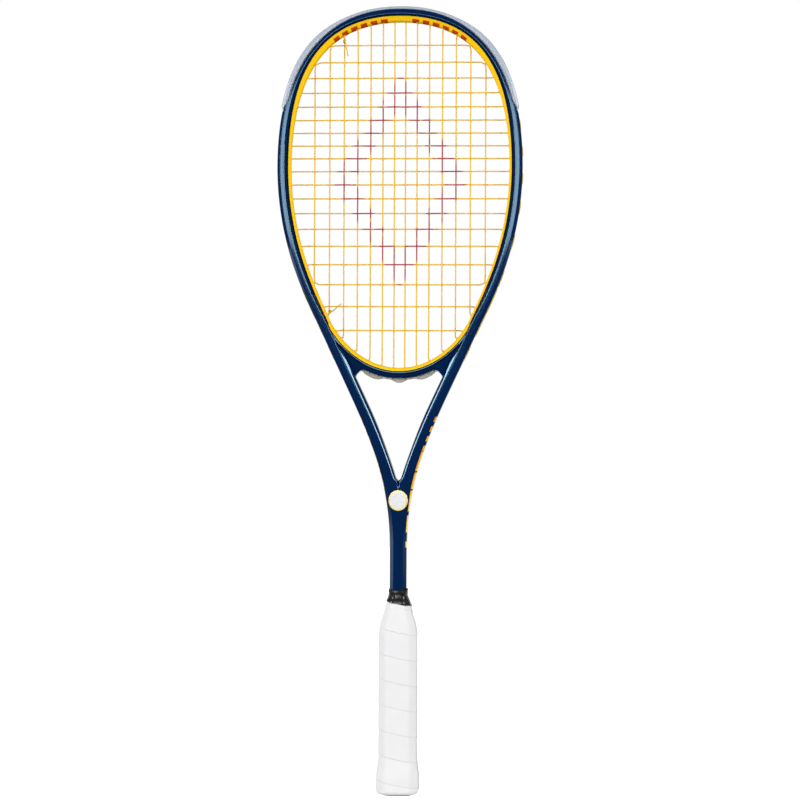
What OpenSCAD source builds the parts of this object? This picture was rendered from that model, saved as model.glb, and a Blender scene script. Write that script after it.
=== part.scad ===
// Squash racket: one bent carbon tube makes the head, the throat arms and the shaft.
// The string bed lies in the XZ plane, the butt stands on z = 0 and the front faces -Y.

/* [Head] */
// Length from the butt to the top of the bumper
racket_len = 685; // [678:1:690]
// Width of the head across the tube
head_w = 213.5; // [208:0.5:218]
// Height of the widest place of the head
widest_z = 546; // [541:1:551]
// How far the curve of the tip runs level before it turns down
tip_reach = 75; // [70:1:80]
// How far the shoulder runs upright above the widest place
shoulder_reach = 75; // [70:1:80]
// How far the hip runs upright below the widest place
hip_reach = 64; // [59:1:69]

/* [Throat] */
// Half the distance between the arms where they start to run straight
arm_top_x = 66.5; // [64:0.5:69]
// Height where the arms start to run straight
arm_top_z = 412; // [407:1:417]
// Lean of the arms from the upright, in degrees
arm_lean = 25; // [24:0.5:26]
// How far the hip runs in line with the arm above its straight
arm_lead = 27; // [23:1:31]
// Straight length of an arm
arm_len = 68; // [64:1:72]
// How far an arm's line is carried on below its straight
merge_reach = 53; // [49:1:57]
// How far the shaft's line is carried up into the throat
shaft_reach = 52.5; // [48:0.5:57]
// Height where the two arms have become one shaft
shaft_top_z = 214; // [208:1:220]
// Radius at the bottom of the open throat
crotch_r = 1.6; // [1:0.1:2.2]
// Solid web below the open throat
crotch_web = 7; // [5:0.5:10]
// Height of the inner edge of the bridge at its middle
bridge_z = 371; // [368:0.5:374]
// How far the bridge runs level from its middle
bridge_reach = 30; // [27:1:33]
// How far the bridge runs in line with the arms at its ends
bridge_lead = 22; // [19:1:25]
// Width of the bridge at its middle
bridge_w = 9.7; // [8.5:0.1:11]
// Depth of the bridge, front to back
bridge_d = 17; // [15:0.5:18]
// How much the bridge widens into the arms
bridge_flare = 16; // [14:1:18]

/* [Tube] */
// Width of the tube round the head
tube_w = 11.5; // [10.5:0.1:12.5]
// Width of the arms
arm_w = 10.7; // [10:0.1:11.5]
// Depth of the tube round the head
tube_d = 19; // [18:0.5:21]
// Depth of the arms
arm_d = 20; // [18.5:0.5:22]
// Width of the shaft
shaft_w = 14.8; // [14:0.1:15.6]
// Depth of the shaft
shaft_d = 19; // [18:0.5:20]
// Wall of the tube
wall = 1.6; // [1.2:0.1:1.9]
// Squareness of the tube's rounded section, where 2 is an ellipse
oval_n = 2.5; // [2.2:0.1:3]
// Depth of the string groove in the hoop's sides
groove_depth = 1.6; // [1.3:0.1:1.8]
// Half width of the string groove
groove_half = 2.8; // [2.6:0.1:3.2]
// Depth of the bumper's seat in the tube
seat_depth = 2.8; // [2.5:0.1:3]

/* [Bumper and grommets] */
// Height where the bumper ends at each side
bumper_end_z = 593; // [590:0.5:596]
// Length of the bumper's tapered ends
bumper_taper = 11; // [9:1:13]
// How far the bumper stands proud of the tube
bumper_proud = 1; // [0.7:0.1:1.5]
// Half depth of the bumper, front to back
bumper_half = 8; // [7.4:0.1:8.4]
// Floor under the strings in the bumper and in the strips
strip_floor = 0.9; // [0.7:0.05:1]
// Height where the side strips end on the arms
strip_end_z = 369; // [366:0.5:371]
// Bore of a grommet barrel for one string
barrel_bore = 2; // [1.8:0.1:2.2]
// Bore of a grommet barrel for two strings
wide_bore = 3.1; // [3:0.05:3.3]
// Wall of a grommet barrel
barrel_wall = 0.65; // [0.5:0.05:0.8]
// How far a barrel stands out of the tube's inner wall
barrel_lip = 0.8; // [0.5:0.1:1.1]
// Height of the throat strip's scallops
scallop_h = 2.4; // [2:0.1:2.8]

/* [Strings] */
// Diameter of the string
string_d = 1.2; // [1.1:0.05:1.3]
// Distance between the middle two main strings
main_pitch = 9.45; // [9.2:0.05:9.7]
// Extra spread of the main strings with each step outwards
main_spread = 0.31; // [0.27:0.01:0.35]
// Height of the middle cross string
cross_mid_z = 542; // [539:1:545]
// Distance between the cross strings at the middle
cross_pitch = 11.4; // [11.2:0.1:11.6]
// Widening of the cross strings towards the throat
cross_skew = 0.177; // [0.165:0.003:0.189]
// Widening of the cross strings towards both ends
cross_fan = 0.0297; // [0.028:0.0005:0.031]
// Length of the tail left at a knot
tail_len = 15; // [10:1:18]

/* [Handle] */
// Width of the octagonal pallet
pallet_w = 29.6; // [28:0.2:31]
// Depth of the octagonal pallet
pallet_d = 26.4; // [25.6:0.2:28]
// Bevel of the pallet's corners, measured along a side
pallet_bevel = 4.8; // [4.4:0.1:5.2]
// Height where the pallet starts to narrow to the shaft
taper_z = 138; // [132:1:144]
// Height of the top of the pallet
pallet_top_z = 169; // [165:1:173]
// Wall of the pallet at its narrow top
pallet_lip = 1.4; // [1.2:0.1:1.8]
// Height of the butt cap's skirt
cap_h = 25; // [22:1:28]
// Height of the butt cap's bare rim
cap_rim_h = 4; // [3:0.5:5]
// Wall of the butt cap's skirt at its widest
cap_wall = 1.9; // [1.7:0.1:2.2]
// Bevel under the butt cap's rim
cap_bevel = 3.4; // [2.6:0.1:3.8]
// Thickness of the butt cap's floor
cap_floor = 6; // [5:0.5:7]
// Wire of the staples
staple_wire = 0.8; // [0.6:0.05:0.9]
// Width of a staple
staple_w = 8; // [6:0.5:9]
// Leg of a staple
staple_leg = 6; // [5:0.5:7]

/* [Grip] */
// Thickness of the grip tape
grip_t = 1.8; // [1.4:0.1:2]
// Rise of the grip tape with each turn
grip_pitch = 22; // [20:0.5:24]
// Gap between the turns of the grip tape
grip_seam = 0.6; // [0.5:0.05:0.9]
// Thickness of the finishing tape
finish_t = 0.6; // [0.4:0.05:0.8]
// Length of the finishing tape above the grip's end
finish_len = 11; // [9:0.5:14]
// Length of the finishing tape over the grip's end
finish_lap = 4; // [3:0.5:5]

/* [Fits] */
// Clearance of a bonded or moulded fit
bond = 0.15; // [0.1:0.01:0.2]
// Clearance of a barrel in its hole
barrel_fit = 0.1; // [0.05:0.01:0.15]
// Clearance between strings that cross
string_fit = 0.1; // [0.08:0.01:0.14]

/* [Hidden] */
$fn = 32;
navy = [0.02, 0.12, 0.28];
pale = [0.77, 0.78, 0.82];
cream = [0.68, 0.67, 0.63];
amber = [0.94, 0.72, 0.2];

// Curves: each leg of the tube's middle line is a cubic curve, from the tip down the right side
tube_half = tube_w / 2;
arm_half = arm_w / 2;
shaft_half = shaft_w / 2;
arm_dir = [-sin(arm_lean), -cos(arm_lean)];
tip = [0, racket_len - bumper_proud - tube_half];
side = [head_w / 2 - tube_half, widest_z];
arm_top = [arm_top_x, arm_top_z];
arm_end = arm_top + arm_len * arm_dir;
shaft_top = [0, shaft_top_z];
shaft_foot = [0, cap_floor + bond];
LEGS = [
    [tip, tip + [tip_reach, 0], side + [0, shoulder_reach], side],
    [side, side - [0, hip_reach], arm_top - arm_lead * arm_dir, arm_top],
    [arm_top, arm_top + arm_len / 3 * arm_dir, arm_end - arm_len / 3 * arm_dir, arm_end],
    [arm_end, arm_end + merge_reach * arm_dir, shaft_top + [0, shaft_reach], shaft_top],
    [shaft_top, (2 * shaft_top + shaft_foot) / 3, (shaft_top + 2 * shaft_foot) / 3, shaft_foot]];
SHAFT_TOP = len(LEGS) - 1;
ARM_END = SHAFT_TOP - 1;
ARM_TOP = ARM_END - 1;

function unit(v) = v / norm(v);
function mix(a, b, f) = a + (b - a) * f;
function ease(a, b, x) = let (f = max(0, min(1, (x - a) / (b - a)))) f * f * (3 - 2 * f);
function curve(p, f) = let (g = 1 - f)
    g * g * g * p[0] + 3 * g * g * f * p[1] + 3 * g * f * f * p[2] + f * f * f * p[3];
function curve_dir(p, f) = let (g = 1 - f)
    unit(g * g * (p[1] - p[0]) + 2 * g * f * (p[2] - p[1]) + f * f * (p[3] - p[2]));
// Place where a falling or rising value passes through zero, by halving the interval
function root(f, a, b, n = 26) = let (m = (a + b) / 2)
    n == 0 ? m : (f(m) > 0) == (f(a) > 0) ? root(f, m, b, n - 1) : root(f, a, m, n - 1);

function leg(t) = min(len(LEGS) - 1, floor(t));
function spine(t) = curve(LEGS[leg(t)], t - leg(t));
function along(t) = curve_dir(LEGS[leg(t)], t - leg(t));
function outward(t) = let (d = along(t)) [-d[1], d[0]];
function half_w(t) = t < 1 ? tube_half : t < ARM_TOP ? mix(tube_half, arm_half, pow(t - 1, 2))
    : mix(arm_half, shaft_half, ease(ARM_END, SHAFT_TOP, t));
function head_depth(t) = mix(tube_d, arm_d, ease(1, ARM_TOP, t));
function half_d(t) = mix(head_depth(t), shaft_d, ease(ARM_END, SHAFT_TOP, t)) / 2;
function t_at(z, a, b) = root(function (t) spine(t)[1] - z, a, b);
// Distance along the tube per unit of t, for steps given in millimetres
probe = 0.01;
function stride(t) = norm(spine(t + probe) - spine(t - probe)) / (2 * probe);

// A point of the tube: s is t with the side's sign, u the distance outwards, y the depth
function to_side(s, p, y) = [s < 0 ? -p[0] : p[0], y, p[1]];
function tube_pt(s, u, y) = to_side(s, spine(abs(s)) + u * outward(abs(s)), y);
// The t whose cross-section holds a point of the XZ plane, for the hip and the arms
function foot(p) = root(function (t) (p - spine(t)) * along(t), 0.8, 3.3);

// Sections: a rounded oval, whose outer side is cut by the bumper's seat or by the string groove
function soft(v) = sign(v) * pow(abs(v), 2 / oval_n);
function oval(a, h, q) = [a * soft(cos(q)), h * soft(sin(q))];
function oval_u(a, h, y) = a * pow(1 - pow(min(1, abs(y) / h), oval_n), 1 / oval_n);
bumper_end = t_at(bumper_end_z, 0.05, 1);
seat_start = bumper_end - bumper_taper / stride(bumper_end);
seat_end = bumper_end + bumper_taper / 4 / stride(bumper_end);
tip_start = mix(seat_start, bumper_end, 0.6);
groove_end = t_at(strip_end_z, ARM_TOP, ARM_END);
groove_run = 0.06;
function seat(t) = 1 - ease(seat_start, seat_end, t);
function groove(t) = ease(seat_start, seat_end, t) * (1 - ease(groove_end, groove_end + groove_run, t));
OVAL_Q = [40, 65, 90, 115, 145];
SIDES = 2 * len(OVAL_Q) + 5;
seat_lip = 0.6;
hair = 0.02;
hollow_least = 0.4;
function mirror_y(half) = [for (i = [len(half) - 1:-1:0]) [half[i][0], -half[i][1]]];
function floor_y(t) = groove_half * (1 + max(seat(t), groove(t))) / 2;
function floor_u(t) = min(half_w(t) - seat_depth * seat(t),
    oval_u(half_w(t), half_d(t), floor_y(t)) - groove_depth * groove(t));
function section(t) = let (
        a = half_w(t), h = half_d(t), limit = a - seat_depth * seat(t),
        lip_y = groove_half * (1 + seat_lip * seat(t)),
        half = concat([[floor_u(t), floor_y(t)], [min(limit, oval_u(a, h, lip_y)), lip_y]],
            [for (q = OVAL_Q) let (p = oval(a, h, q)) [min(limit, p[0]), p[1]]]))
    concat(half, [[-a, 0]], mirror_y(half));
// The hollow inside keeps the wall behind the seat and the groove too
function hollow(t) = let (
        a = half_w(t), cut = max(seat_depth, groove_depth) * (1 - ease(groove_end, ARM_END, t)),
        mid = -cut / 2, r = a - wall - cut / 2, h = half_d(t) - wall, n = SIDES)
    [for (i = [0:n - 1]) let (q = 360 * (i + 0.5) / n) [mid + r * cos(q), h * sin(q)]];

// The throat: horizontal sections below the arms, closed at the middle below the open throat
function level_w(t) = half_w(t) / outward(t)[0];
apex_t = root(function (t) spine(t)[0] - level_w(t), ARM_END, SHAFT_TOP);
apex_z = spine(apex_t)[1];
function inner_x(t) = spine(t)[0] - level_w(t);
apex_lean = atan2(inner_x(apex_t - 0.1), spine(apex_t - 0.1)[1] - apex_z);
crotch_mid = apex_z + crotch_r / sin(apex_lean);
crotch_z = crotch_mid - crotch_r;
touch_z = crotch_mid - crotch_r * sin(apex_lean);
function pinch(t) = let (z = spine(t)[1])
    z >= touch_z ? 1 : z <= crotch_z + 0.001 ? 0
    : sqrt(pow(crotch_r, 2) - pow(z - crotch_mid, 2)) / max(0.01, inner_x(t));
function level_ring(t, pts, close, least) = let (p = spine(t), k = level_w(t) / half_w(t))
    [for (q = pts) let (x = p[0] + k * q[0])
        [q[0] < -0.001 ? (close == 0 ? 0 : max(least, x * close)) : max(0, x), q[1], p[1]]];
function ring(t) = t > ARM_END ? level_ring(t, section(t), pinch(t), 0)
    : [for (q = section(t)) tube_pt(t, q[0], q[1])];
web_z = crotch_z - crotch_web;
function hollow_ring(t) = t > ARM_END
    ? level_ring(t, hollow(t), spine(t)[1] <= web_z + 0.001 ? 0 : 1, hollow_least)
    : [for (q = hollow(t)) tube_pt(t, q[0], q[1])];
T_BUMPER = concat([for (k = [0:12]) seat_start * k / 12],
    [for (k = [1:2]) mix(seat_start, tip_start, k / 2)], [for (k = [1:2]) mix(tip_start, bumper_end, k / 2)]);
T_HEAD = concat(T_BUMPER, [for (k = [0:4]) mix(seat_end, 1, k / 4)],
    [for (k = [1:9]) 1 + k / 9], [groove_end, groove_end + groove_run, ARM_END]);
Z_THROAT = concat([for (k = [1:5]) mix(arm_end[1], touch_z, k / 5)],
    [mix(touch_z, crotch_z, 0.5), crotch_z, web_z],
    [for (k = [1:3]) mix(web_z, shaft_top_z, k / 4)]);
T_TUBE = concat(T_HEAD, [for (z = Z_THROAT) t_at(z, ARM_END, SHAFT_TOP)], [SHAFT_TOP, len(LEGS)]);

function flat(lists) = [for (l = lists) each l];
function reverse(l) = [for (i = [len(l) - 1:-1:0]) l[i]];
function quad(a, b, c, d) = [[a, b, c], [a, c, d]];

// The tube: right half and its mirror share their points on the middle plane
module tube_shell() {
    m = len(T_TUBE);
    n = SIDES;
    right = concat(flat([for (t = T_TUBE) ring(t)]), flat([for (t = T_TUBE) hollow_ring(t)]));
    left = [for (p = right) [-p[0], p[1], p[2]]];
    function id(mirrored, inside, j, i) = let (k = inside * m * n + j * n + i % n)
        mirrored == 1 && right[k][0] > 0 ? 2 * m * n + k : k;
    function off_middle(f) = max([for (k = f) right[k % (2 * m * n)][0]]) > 0;
    walls = [for (x = [0, 1], w = [0, 1], j = [0:m - 2], i = [0:n - 1])
        each x != w ? quad(id(x, w, j, i), id(x, w, j + 1, i), id(x, w, j + 1, i + 1), id(x, w, j, i + 1))
            : quad(id(x, w, j, i), id(x, w, j, i + 1), id(x, w, j + 1, i + 1), id(x, w, j + 1, i))];
    ends = [for (x = [0, 1], i = [0:n - 1]) let (j = m - 1)
        each x == 1 ? quad(id(x, 0, j, i), id(x, 1, j, i), id(x, 1, j, i + 1), id(x, 0, j, i + 1))
            : quad(id(x, 0, j, i), id(x, 0, j, i + 1), id(x, 1, j, i + 1), id(x, 1, j, i))];
    polyhedron(concat(right, left), [for (f = concat(walls, ends)) if (off_middle(f)) f]);
}

// A closed skin over a row of rings
module loft(rings) {
    m = len(rings);
    n = len(rings[0]);
    sides = [for (j = [0:m - 2], i = [0:n - 1]) let (k = (i + 1) % n)
        each quad(j * n + i, j * n + k, (j + 1) * n + k, (j + 1) * n + i)];
    first = [for (i = [1:n - 2]) [0, i + 1, i]];
    last = [for (i = [1:n - 2]) (m - 1) * n * [1, 1, 1] + [0, i, i + 1]];
    polyhedron(flat(rings), concat(sides, first, last));
}

// A round bar between two points
module rod(a, b, r) {
    d = b - a;
    translate(a) rotate([0, acos(d[2] / norm(d)), atan2(d[1], d[0])]) cylinder(h = norm(d), r = r);
}

// The bridge: a curve along the inner edge of the head's bottom, and a section that widens into the arms
bridge_seat = spine(ARM_TOP) - arm_half * outward(ARM_TOP);
BRIDGE = [[0, bridge_z], [bridge_reach, bridge_z], bridge_seat + bridge_lead * arm_dir, bridge_seat];
FLARE = [0.325, 0.405];
NEAR_ARM = 0.23;
BRIDGE_END = 0.85;
BRIDGE_V = concat([0, 0.1, 0.2, 0.28], [for (k = [0:6]) mix(FLARE[0], FLARE[1], k / 6)],
    [0.46, 0.53, 0.62, 0.7, 0.78, BRIDGE_END]);
function edge(v) = curve(BRIDGE, v);
function edge_out(v) = let (d = curve_dir(BRIDGE, v)) [d[1], -d[0]];
function bridge_width(v) = bridge_w + bridge_flare * ease(FLARE[0], FLARE[1], v);
function bridge_pt(s, w, y) = to_side(s, edge(abs(s)) + w * edge_out(abs(s)), y);
// A point that would reach into an arm lies on the arm's inner wall instead
function by_arm(p, y) = let (
        t = foot(p), u = (p - spine(t)) * outward(t), wall_u = -oval_u(half_w(t), half_d(t), y) - bond)
    u > wall_u ? spine(t) + wall_u * outward(t) : p;
function bridge_ring(s) = let (v = abs(s), r = bridge_width(v) / 2)
    [for (k = [0:11]) let (q = oval(r, bridge_d / 2, 30 * k), p = edge(v) + (r - q[0]) * edge_out(v))
        to_side(s, v < NEAR_ARM ? p : by_arm(p, q[1]), q[1])];
function both_sides(list) = concat([for (i = [len(list) - 1:-1:1]) -list[i]], list);

// String places: main strings run upright, cross strings level, each from mouth to mouth of two grommets
MAINS = 14;
mouth_gap = 0.7;
mouth_out = barrel_lip + mouth_gap;
share_gap = 6;
lane = (string_d + string_fit) / 2;
function main_x(i) = let (n = i - (MAINS - 1) / 2) n * (main_pitch + main_spread * abs(n));
// As many cross strings as find room between the tip of the hoop and the bridge
function cross_at(n) = cross_mid_z - n * (cross_pitch + n * (cross_skew + n * cross_fan));
cross_room = 14;
CROSS_RANKS = [for (n = [-12:12]) if (cross_at(n) < tip[1] - tube_half - cross_room
    && cross_at(n) > bridge_z + cross_room) n];
CROSSES = len(CROSS_RANKS);
function cross_z(k) = cross_at(CROSS_RANKS[k]);
function rim_in(t) = spine(t) - (half_w(t) + mouth_out) * outward(t);
function edge_in(v) = edge(v) - mouth_out * edge_out(v);
rim_low = rim_in(ARM_TOP);
// A hole: whether it is in the bridge, its place along it or the tube, and its mouth's distance outwards
function rim_hole(t) = [false, t, -half_w(t) - mouth_out];
function corner_hole(p) = let (t = foot(p)) [false, t, (p - spine(t)) * outward(t)];
function bridge_hole(v) = edge(v)[0] < bridge_reach ? [true, v, -mouth_out] : corner_hole(edge_in(v));
function main_top(x) = rim_hole(root(function (t) rim_in(t)[0] - x, 0, 1));
function main_low(x) = x > rim_low[0] ? rim_hole(root(function (t) rim_in(t)[0] - x, 1, ARM_TOP))
    : bridge_hole(root(function (v) edge_in(v)[0] - x, 0, 1));
function cross_end(z) = z > rim_low[1] ? rim_hole(root(function (t) rim_in(t)[1] - z, 0.02, ARM_TOP))
    : bridge_hole(root(function (v) edge_in(v)[1] - z, 0, 1));
// Holes of a main and a cross string that would run into each other become one wide hole
function shared(h, others) = let (near = [for (o = others)
        if (!h[0] && !o[0] && abs(h[1] - o[1]) * stride(h[1]) < share_gap) o])
    len(near) > 0 ? [false, (h[1] + near[0][1]) / 2, (h[2] + near[0][2]) / 2, true] : concat(h, [false]);
HALF_MAINS = [for (i = [MAINS / 2:MAINS - 1]) main_x(i)];
TOPS = [for (x = HALF_MAINS) main_top(x)];
LOWS = [for (x = HALF_MAINS) main_low(x)];
ENDS = [for (k = [0:CROSSES - 1]) cross_end(cross_z(k))];
TOP_HOLES = [for (h = TOPS) shared(h, ENDS)];
LOW_HOLES = [for (h = LOWS) shared(h, ENDS)];
END_HOLES = [for (h = ENDS) shared(h, concat(TOPS, LOWS))];
TIE_TOP = MAINS / 2 - 3;
TIE_LOW = MAINS / 2 - 2;
tie_gap = 0.45;
tie_lane = (string_d + tie_gap) / 2;
function wide_at(h, tie) = h[3] || tie;
// One side's holes: bridge or tube, place, mouth, width of two strings, depth
HOLES = concat(
    [for (i = [0:MAINS / 2 - 1]) let (h = TOP_HOLES[i], w = wide_at(h, i == TIE_TOP || i == TIE_TOP + 1))
        [h[0], h[1], h[2], w, w ? 0 : -lane]],
    [for (i = [0:MAINS / 2 - 1]) let (h = LOW_HOLES[i], w = wide_at(h, i == TIE_LOW))
        [h[0], h[1], h[2], w, w ? 0 : -lane]],
    [for (h = END_HOLES) if (!h[3]) [h[0], h[1], h[2], false, lane]]);
function bore_r(h) = (h[3] ? wide_bore : barrel_bore) / 2;
function hole_pt(h, sgn, w) = h[0] ? bridge_pt(sgn * h[1], w, h[4]) : tube_pt(sgn * h[1], w, h[4]);
function deck(t) = floor_u(t) + bond + strip_floor;
function bridge_deck(v) = bridge_width(v) + bond + strip_floor;
function hole_deck(h) = h[0] ? bridge_deck(h[1]) : deck(h[1]);
past = 3;
module bores(holes, grow) {
    for (h = holes, sgn = [-1, 1])
        rod(hole_pt(h, sgn, h[2] - past), hole_pt(h, sgn, hole_deck(h) + past), bore_r(h) + grow);
}
sunk = 0.2;
module barrels(holes, sides) {
    for (h = holes, sgn = sides) rod(hole_pt(h, sgn, h[2] + mouth_gap), hole_pt(h, sgn, hole_deck(h) - sunk),
        bore_r(h) + barrel_wall);
}
hole_grow = barrel_wall + barrel_fit;

module frame() {
    color(navy) difference() {
        tube_shell();
        bores([for (h = HOLES) if (!h[0]) h], hole_grow);
    }
}

module throat_bridge() {
    color(navy) difference() {
        loft([for (s = both_sides(BRIDGE_V)) bridge_ring(s)]);
        bores([for (h = HOLES) if (h[0] || h[2] < -half_w(h[1]) - mouth_out - 0.01) h], hole_grow);
    }
}

// The bumper: a rail each side of the strings, on a seat cut in the tube
bumper_edge = 0.8;
bumper_chamfer = 1.3;
bumper_foot = 0.5;
bumper_shoulder = 0.4;
function bumper_ring(s) = let (
        t = abs(s), base = floor_u(t) + bond, f = ease(tip_start, bumper_end, t),
        top = mix(half_w(t) + bumper_proud, base + bumper_edge, f),
        low = mix(deck(t), top - hair, f), rail = groove_half - bond,
        half = [[low, rail - bond], [top, rail], [top, bumper_half - bumper_chamfer],
            [mix(base, top, bumper_shoulder), bumper_half], [base, bumper_half - bumper_foot]])
    [for (q = concat(half, mirror_y(half))) tube_pt(s, q[0], q[1])];
module bumper_guard() {
    holes = [for (h = HOLES) if (!h[0] && h[1] < bumper_end) h];
    color(pale) difference() {
        union() {
            loft([for (s = both_sides(T_BUMPER)) bumper_ring(s)]);
            barrels(holes, [-1, 1]);
        }
        bores(holes, 0);
    }
}

// A side strip lies in the groove from the bumper's end to the arm
strip_gap = 1;
strip_start = bumper_end + strip_gap / stride(bumper_end);
strip_end = groove_end - strip_gap / stride(groove_end);
T_STRIP = concat([strip_start], [for (t = T_HEAD) if (t > strip_start + hair && t < strip_end - hair) t],
    [strip_end]);
function strip_ring(s) = let (t = abs(s), u = floor_u(t) + bond, y = groove_half - bond)
    [for (q = [[u + strip_floor, y], [u, y], [u, -y], [u + strip_floor, -y]]) tube_pt(s, q[0], q[1])];
module side_strip(sgn) {
    holes = [for (h = HOLES) if (!h[0] && h[1] > bumper_end) h];
    color(cream) difference() {
        union() {
            loft([for (t = sgn > 0 ? T_STRIP : reverse(T_STRIP)) strip_ring(sgn * t)]);
            barrels(holes, [sgn]);
        }
        bores(holes, 0);
    }
}
module left_grommet_strip() { side_strip(-1); }
module right_grommet_strip() { side_strip(1); }

// The throat strip: a scalloped rail each side of the loops that pass under the bridge
strip_v = 0.335;
strip_fade = 0.03;
V_STRIP = [for (k = [0:18]) strip_v * k / 18];
rail_in = 1.7;
rail_out = 2.8;
LOOPS = [0, mix(main_x(MAINS / 2 + 1), main_x(MAINS / 2 + 2), 0.25)];
loop_half = 6.5;
function scallop(x) = max([for (c = LOOPS) pow(cos(90 * min(1, abs(x - c) / loop_half)), 1.3)]);
function throat_ring(s) = let (
        v = abs(s), base = bridge_width(v) + bond, low = bridge_deck(v),
        rise = scallop_h * scallop(edge(v)[0]) * (1 - ease(strip_v - strip_fade, strip_v, v)),
        top = low + max(hair, rise),
        half = [[low, rail_in], [top, rail_in + bond], [top, rail_out - bond], [base, rail_out]])
    [for (q = concat(half, mirror_y(half))) bridge_pt(s, q[0], q[1])];
module throat_grommet_strip() {
    holes = [for (h = HOLES) if (h[0]) h];
    color(cream) difference() {
        union() {
            loft([for (s = reverse(both_sides(V_STRIP))) throat_ring(s)]);
            barrels(holes, [-1, 1]);
        }
        bores(holes, 0);
    }
}

// The string: one length that weaves up and down, turns round outside the tube, then weaves across
STRING_SIDES = 4;
lift = string_d / 2 + string_fit;
turn = 1;
RUN_STEP = [0.07, 0.12];
function on_part(b, s, w, y) = b ? bridge_pt(s, w, y) : tube_pt(s, w, y);
function level(b, p) = lift + (b ? bridge_deck(p) : deck(p));
function bridge_stride(v) = norm(edge(v + probe) - edge(v - probe)) / (2 * probe);
function steps(b, p) = turn / (b ? bridge_stride(p) : stride(p));
function mouth(h, sgn, y) = on_part(h[0], sgn * h[1], h[2], y);
// The run outside the tube from one hole to the next, which may swing aside by a bulge
function link(b, s1, y1, s2, y2, bulge = 0) = let (
        d = sign(s2 - s1), a = s1 + d * steps(b, abs(s1)), e = s2 - d * steps(b, abs(s2)),
        n = max(1, round(abs(e - a) / RUN_STEP[b ? 1 : 0])))
    concat([on_part(b, s1, level(b, abs(s1)) - turn, y1)],
        [for (k = [0:n]) let (s = mix(a, e, k / n))
            on_part(b, s, level(b, abs(s)), mix(y1, y2, k / n) - bulge * sin(180 * k / n))],
        [on_part(b, s2, level(b, abs(s2)) - turn, y2)]);
function side_of(i) = i < MAINS / 2 ? -1 : 1;
function rank(i) = i < MAINS / 2 ? MAINS / 2 - 1 - i : i - MAINS / 2;
TIE_MAIN = MAINS / 2 - 1 - TIE_TOP;
function top_y(i) = i == TIE_MAIN || i == TIE_MAIN - 1 ? tie_lane : -lane;
TOP_Z = [for (h = TOP_HOLES) mouth(h, 1, 0)[2]];
LOW_Z = [for (h = LOW_HOLES) mouth(h, 1, 0)[2]];
edge_room = 4;
function meets(i, k) = cross_z(k) < TOP_Z[rank(i)] - edge_room
    && cross_z(k) > LOW_Z[rank(i)] + edge_room;
function over(i, k) = (i + k) % 2 == 0 ? lane : -lane;
function main_run(i) = let (h = rank(i), p = concat([mouth(TOP_HOLES[h], side_of(i), top_y(i))],
        [for (k = [0:CROSSES - 1]) if (meets(i, k)) [main_x(i), over(i, k), cross_z(k)]],
        [mouth(LOW_HOLES[h], side_of(i), -lane)])) i % 2 == 0 ? p : reverse(p);
function main_link(i) = let (
        low = i % 2 == 0, list = low ? LOW_HOLES : TOP_HOLES, a = list[rank(i)], e = list[rank(i + 1)])
    link(a[0], side_of(i) * a[1], low ? -lane : top_y(i), side_of(i + 1) * e[1], low ? -lane : top_y(i + 1));
function cross_run(k) = let (h = END_HOLES[k], p = concat([mouth(h, -1, lane)],
        [for (i = [0:MAINS - 1]) if (meets(i, k)) [main_x(i), -over(i, k), cross_z(k)]],
        [mouth(h, 1, lane)])) k % 2 == 0 ? reverse(p) : p;
function cross_link(k) = let (sgn = k % 2 == 0 ? -1 : 1)
    link(false, sgn * END_HOLES[k][1], lane, sgn * END_HOLES[k + 1][1], lane);
// The last main string's end becomes the first cross string, outside the right shoulder
JOIN = link(false, TOP_HOLES[MAINS / 2 - 1][1], -lane, END_HOLES[0][1], lane);
join_at = floor(len(JOIN) / 2);
tie_hole = TOP_HOLES[TIE_TOP];
tie_mouth = mouth(tie_hole, -1, -tie_lane);
knot_hole = LOW_HOLES[TIE_LOW];
knot_side = CROSSES % 2 == 0 ? 1 : -1;
knot_mouth = mouth(knot_hole, knot_side, lane);
knot_main = knot_side < 0 ? MAINS / 2 - 1 - TIE_LOW : MAINS / 2 + TIE_LOW;
beside_knot = let (p = main_run(knot_main)) knot_main % 2 == 0 ? p[len(p) - 2] : p[1];
knot_drop = 3;
tail_front = -2.3;
tie_bulge = 0.4;
tail_rise = knot_drop + 2;
TIE_DIR = [0.2, 1];
KNOT_DIR = [0.65, 0.75];
function at_front(p) = [p[0], tail_front, p[2]];
TIE_TAIL = [at_front(tie_mouth + tail_len * [TIE_DIR[0], 0, -TIE_DIR[1]]),
    at_front(tie_mouth + tail_rise * [TIE_DIR[0], 0, -TIE_DIR[1]]), tie_mouth - [0, 0, knot_drop]];
KNOT_TAIL = [knot_mouth + [0, 0, knot_drop],
    at_front(knot_mouth + tail_rise * [-knot_side * KNOT_DIR[0], 0, 1]),
    at_front(knot_mouth + tail_len * [-knot_side * KNOT_DIR[0], 0, KNOT_DIR[1]])];
MAIN_PATH = concat(TIE_TAIL, [tie_mouth],
    link(false, -tie_hole[1], -tie_lane, -TOP_HOLES[MAINS / 2 - 1][1], -lane, tie_bulge),
    flat([for (i = [0:MAINS - 1]) concat(main_run(i), i < MAINS - 1 ? main_link(i) : [])]),
    [for (j = [0:join_at]) JOIN[j]]);
CROSS_PATH = concat([for (j = [join_at:len(JOIN) - 1]) JOIN[j]],
    flat([for (k = [0:CROSSES - 1]) concat(cross_run(k), k < CROSSES - 1 ? cross_link(k) : [])]),
    link(false, knot_side * END_HOLES[CROSSES - 1][1], lane, knot_side * knot_hole[1], lane),
    [knot_mouth], KNOT_TAIL);
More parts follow.
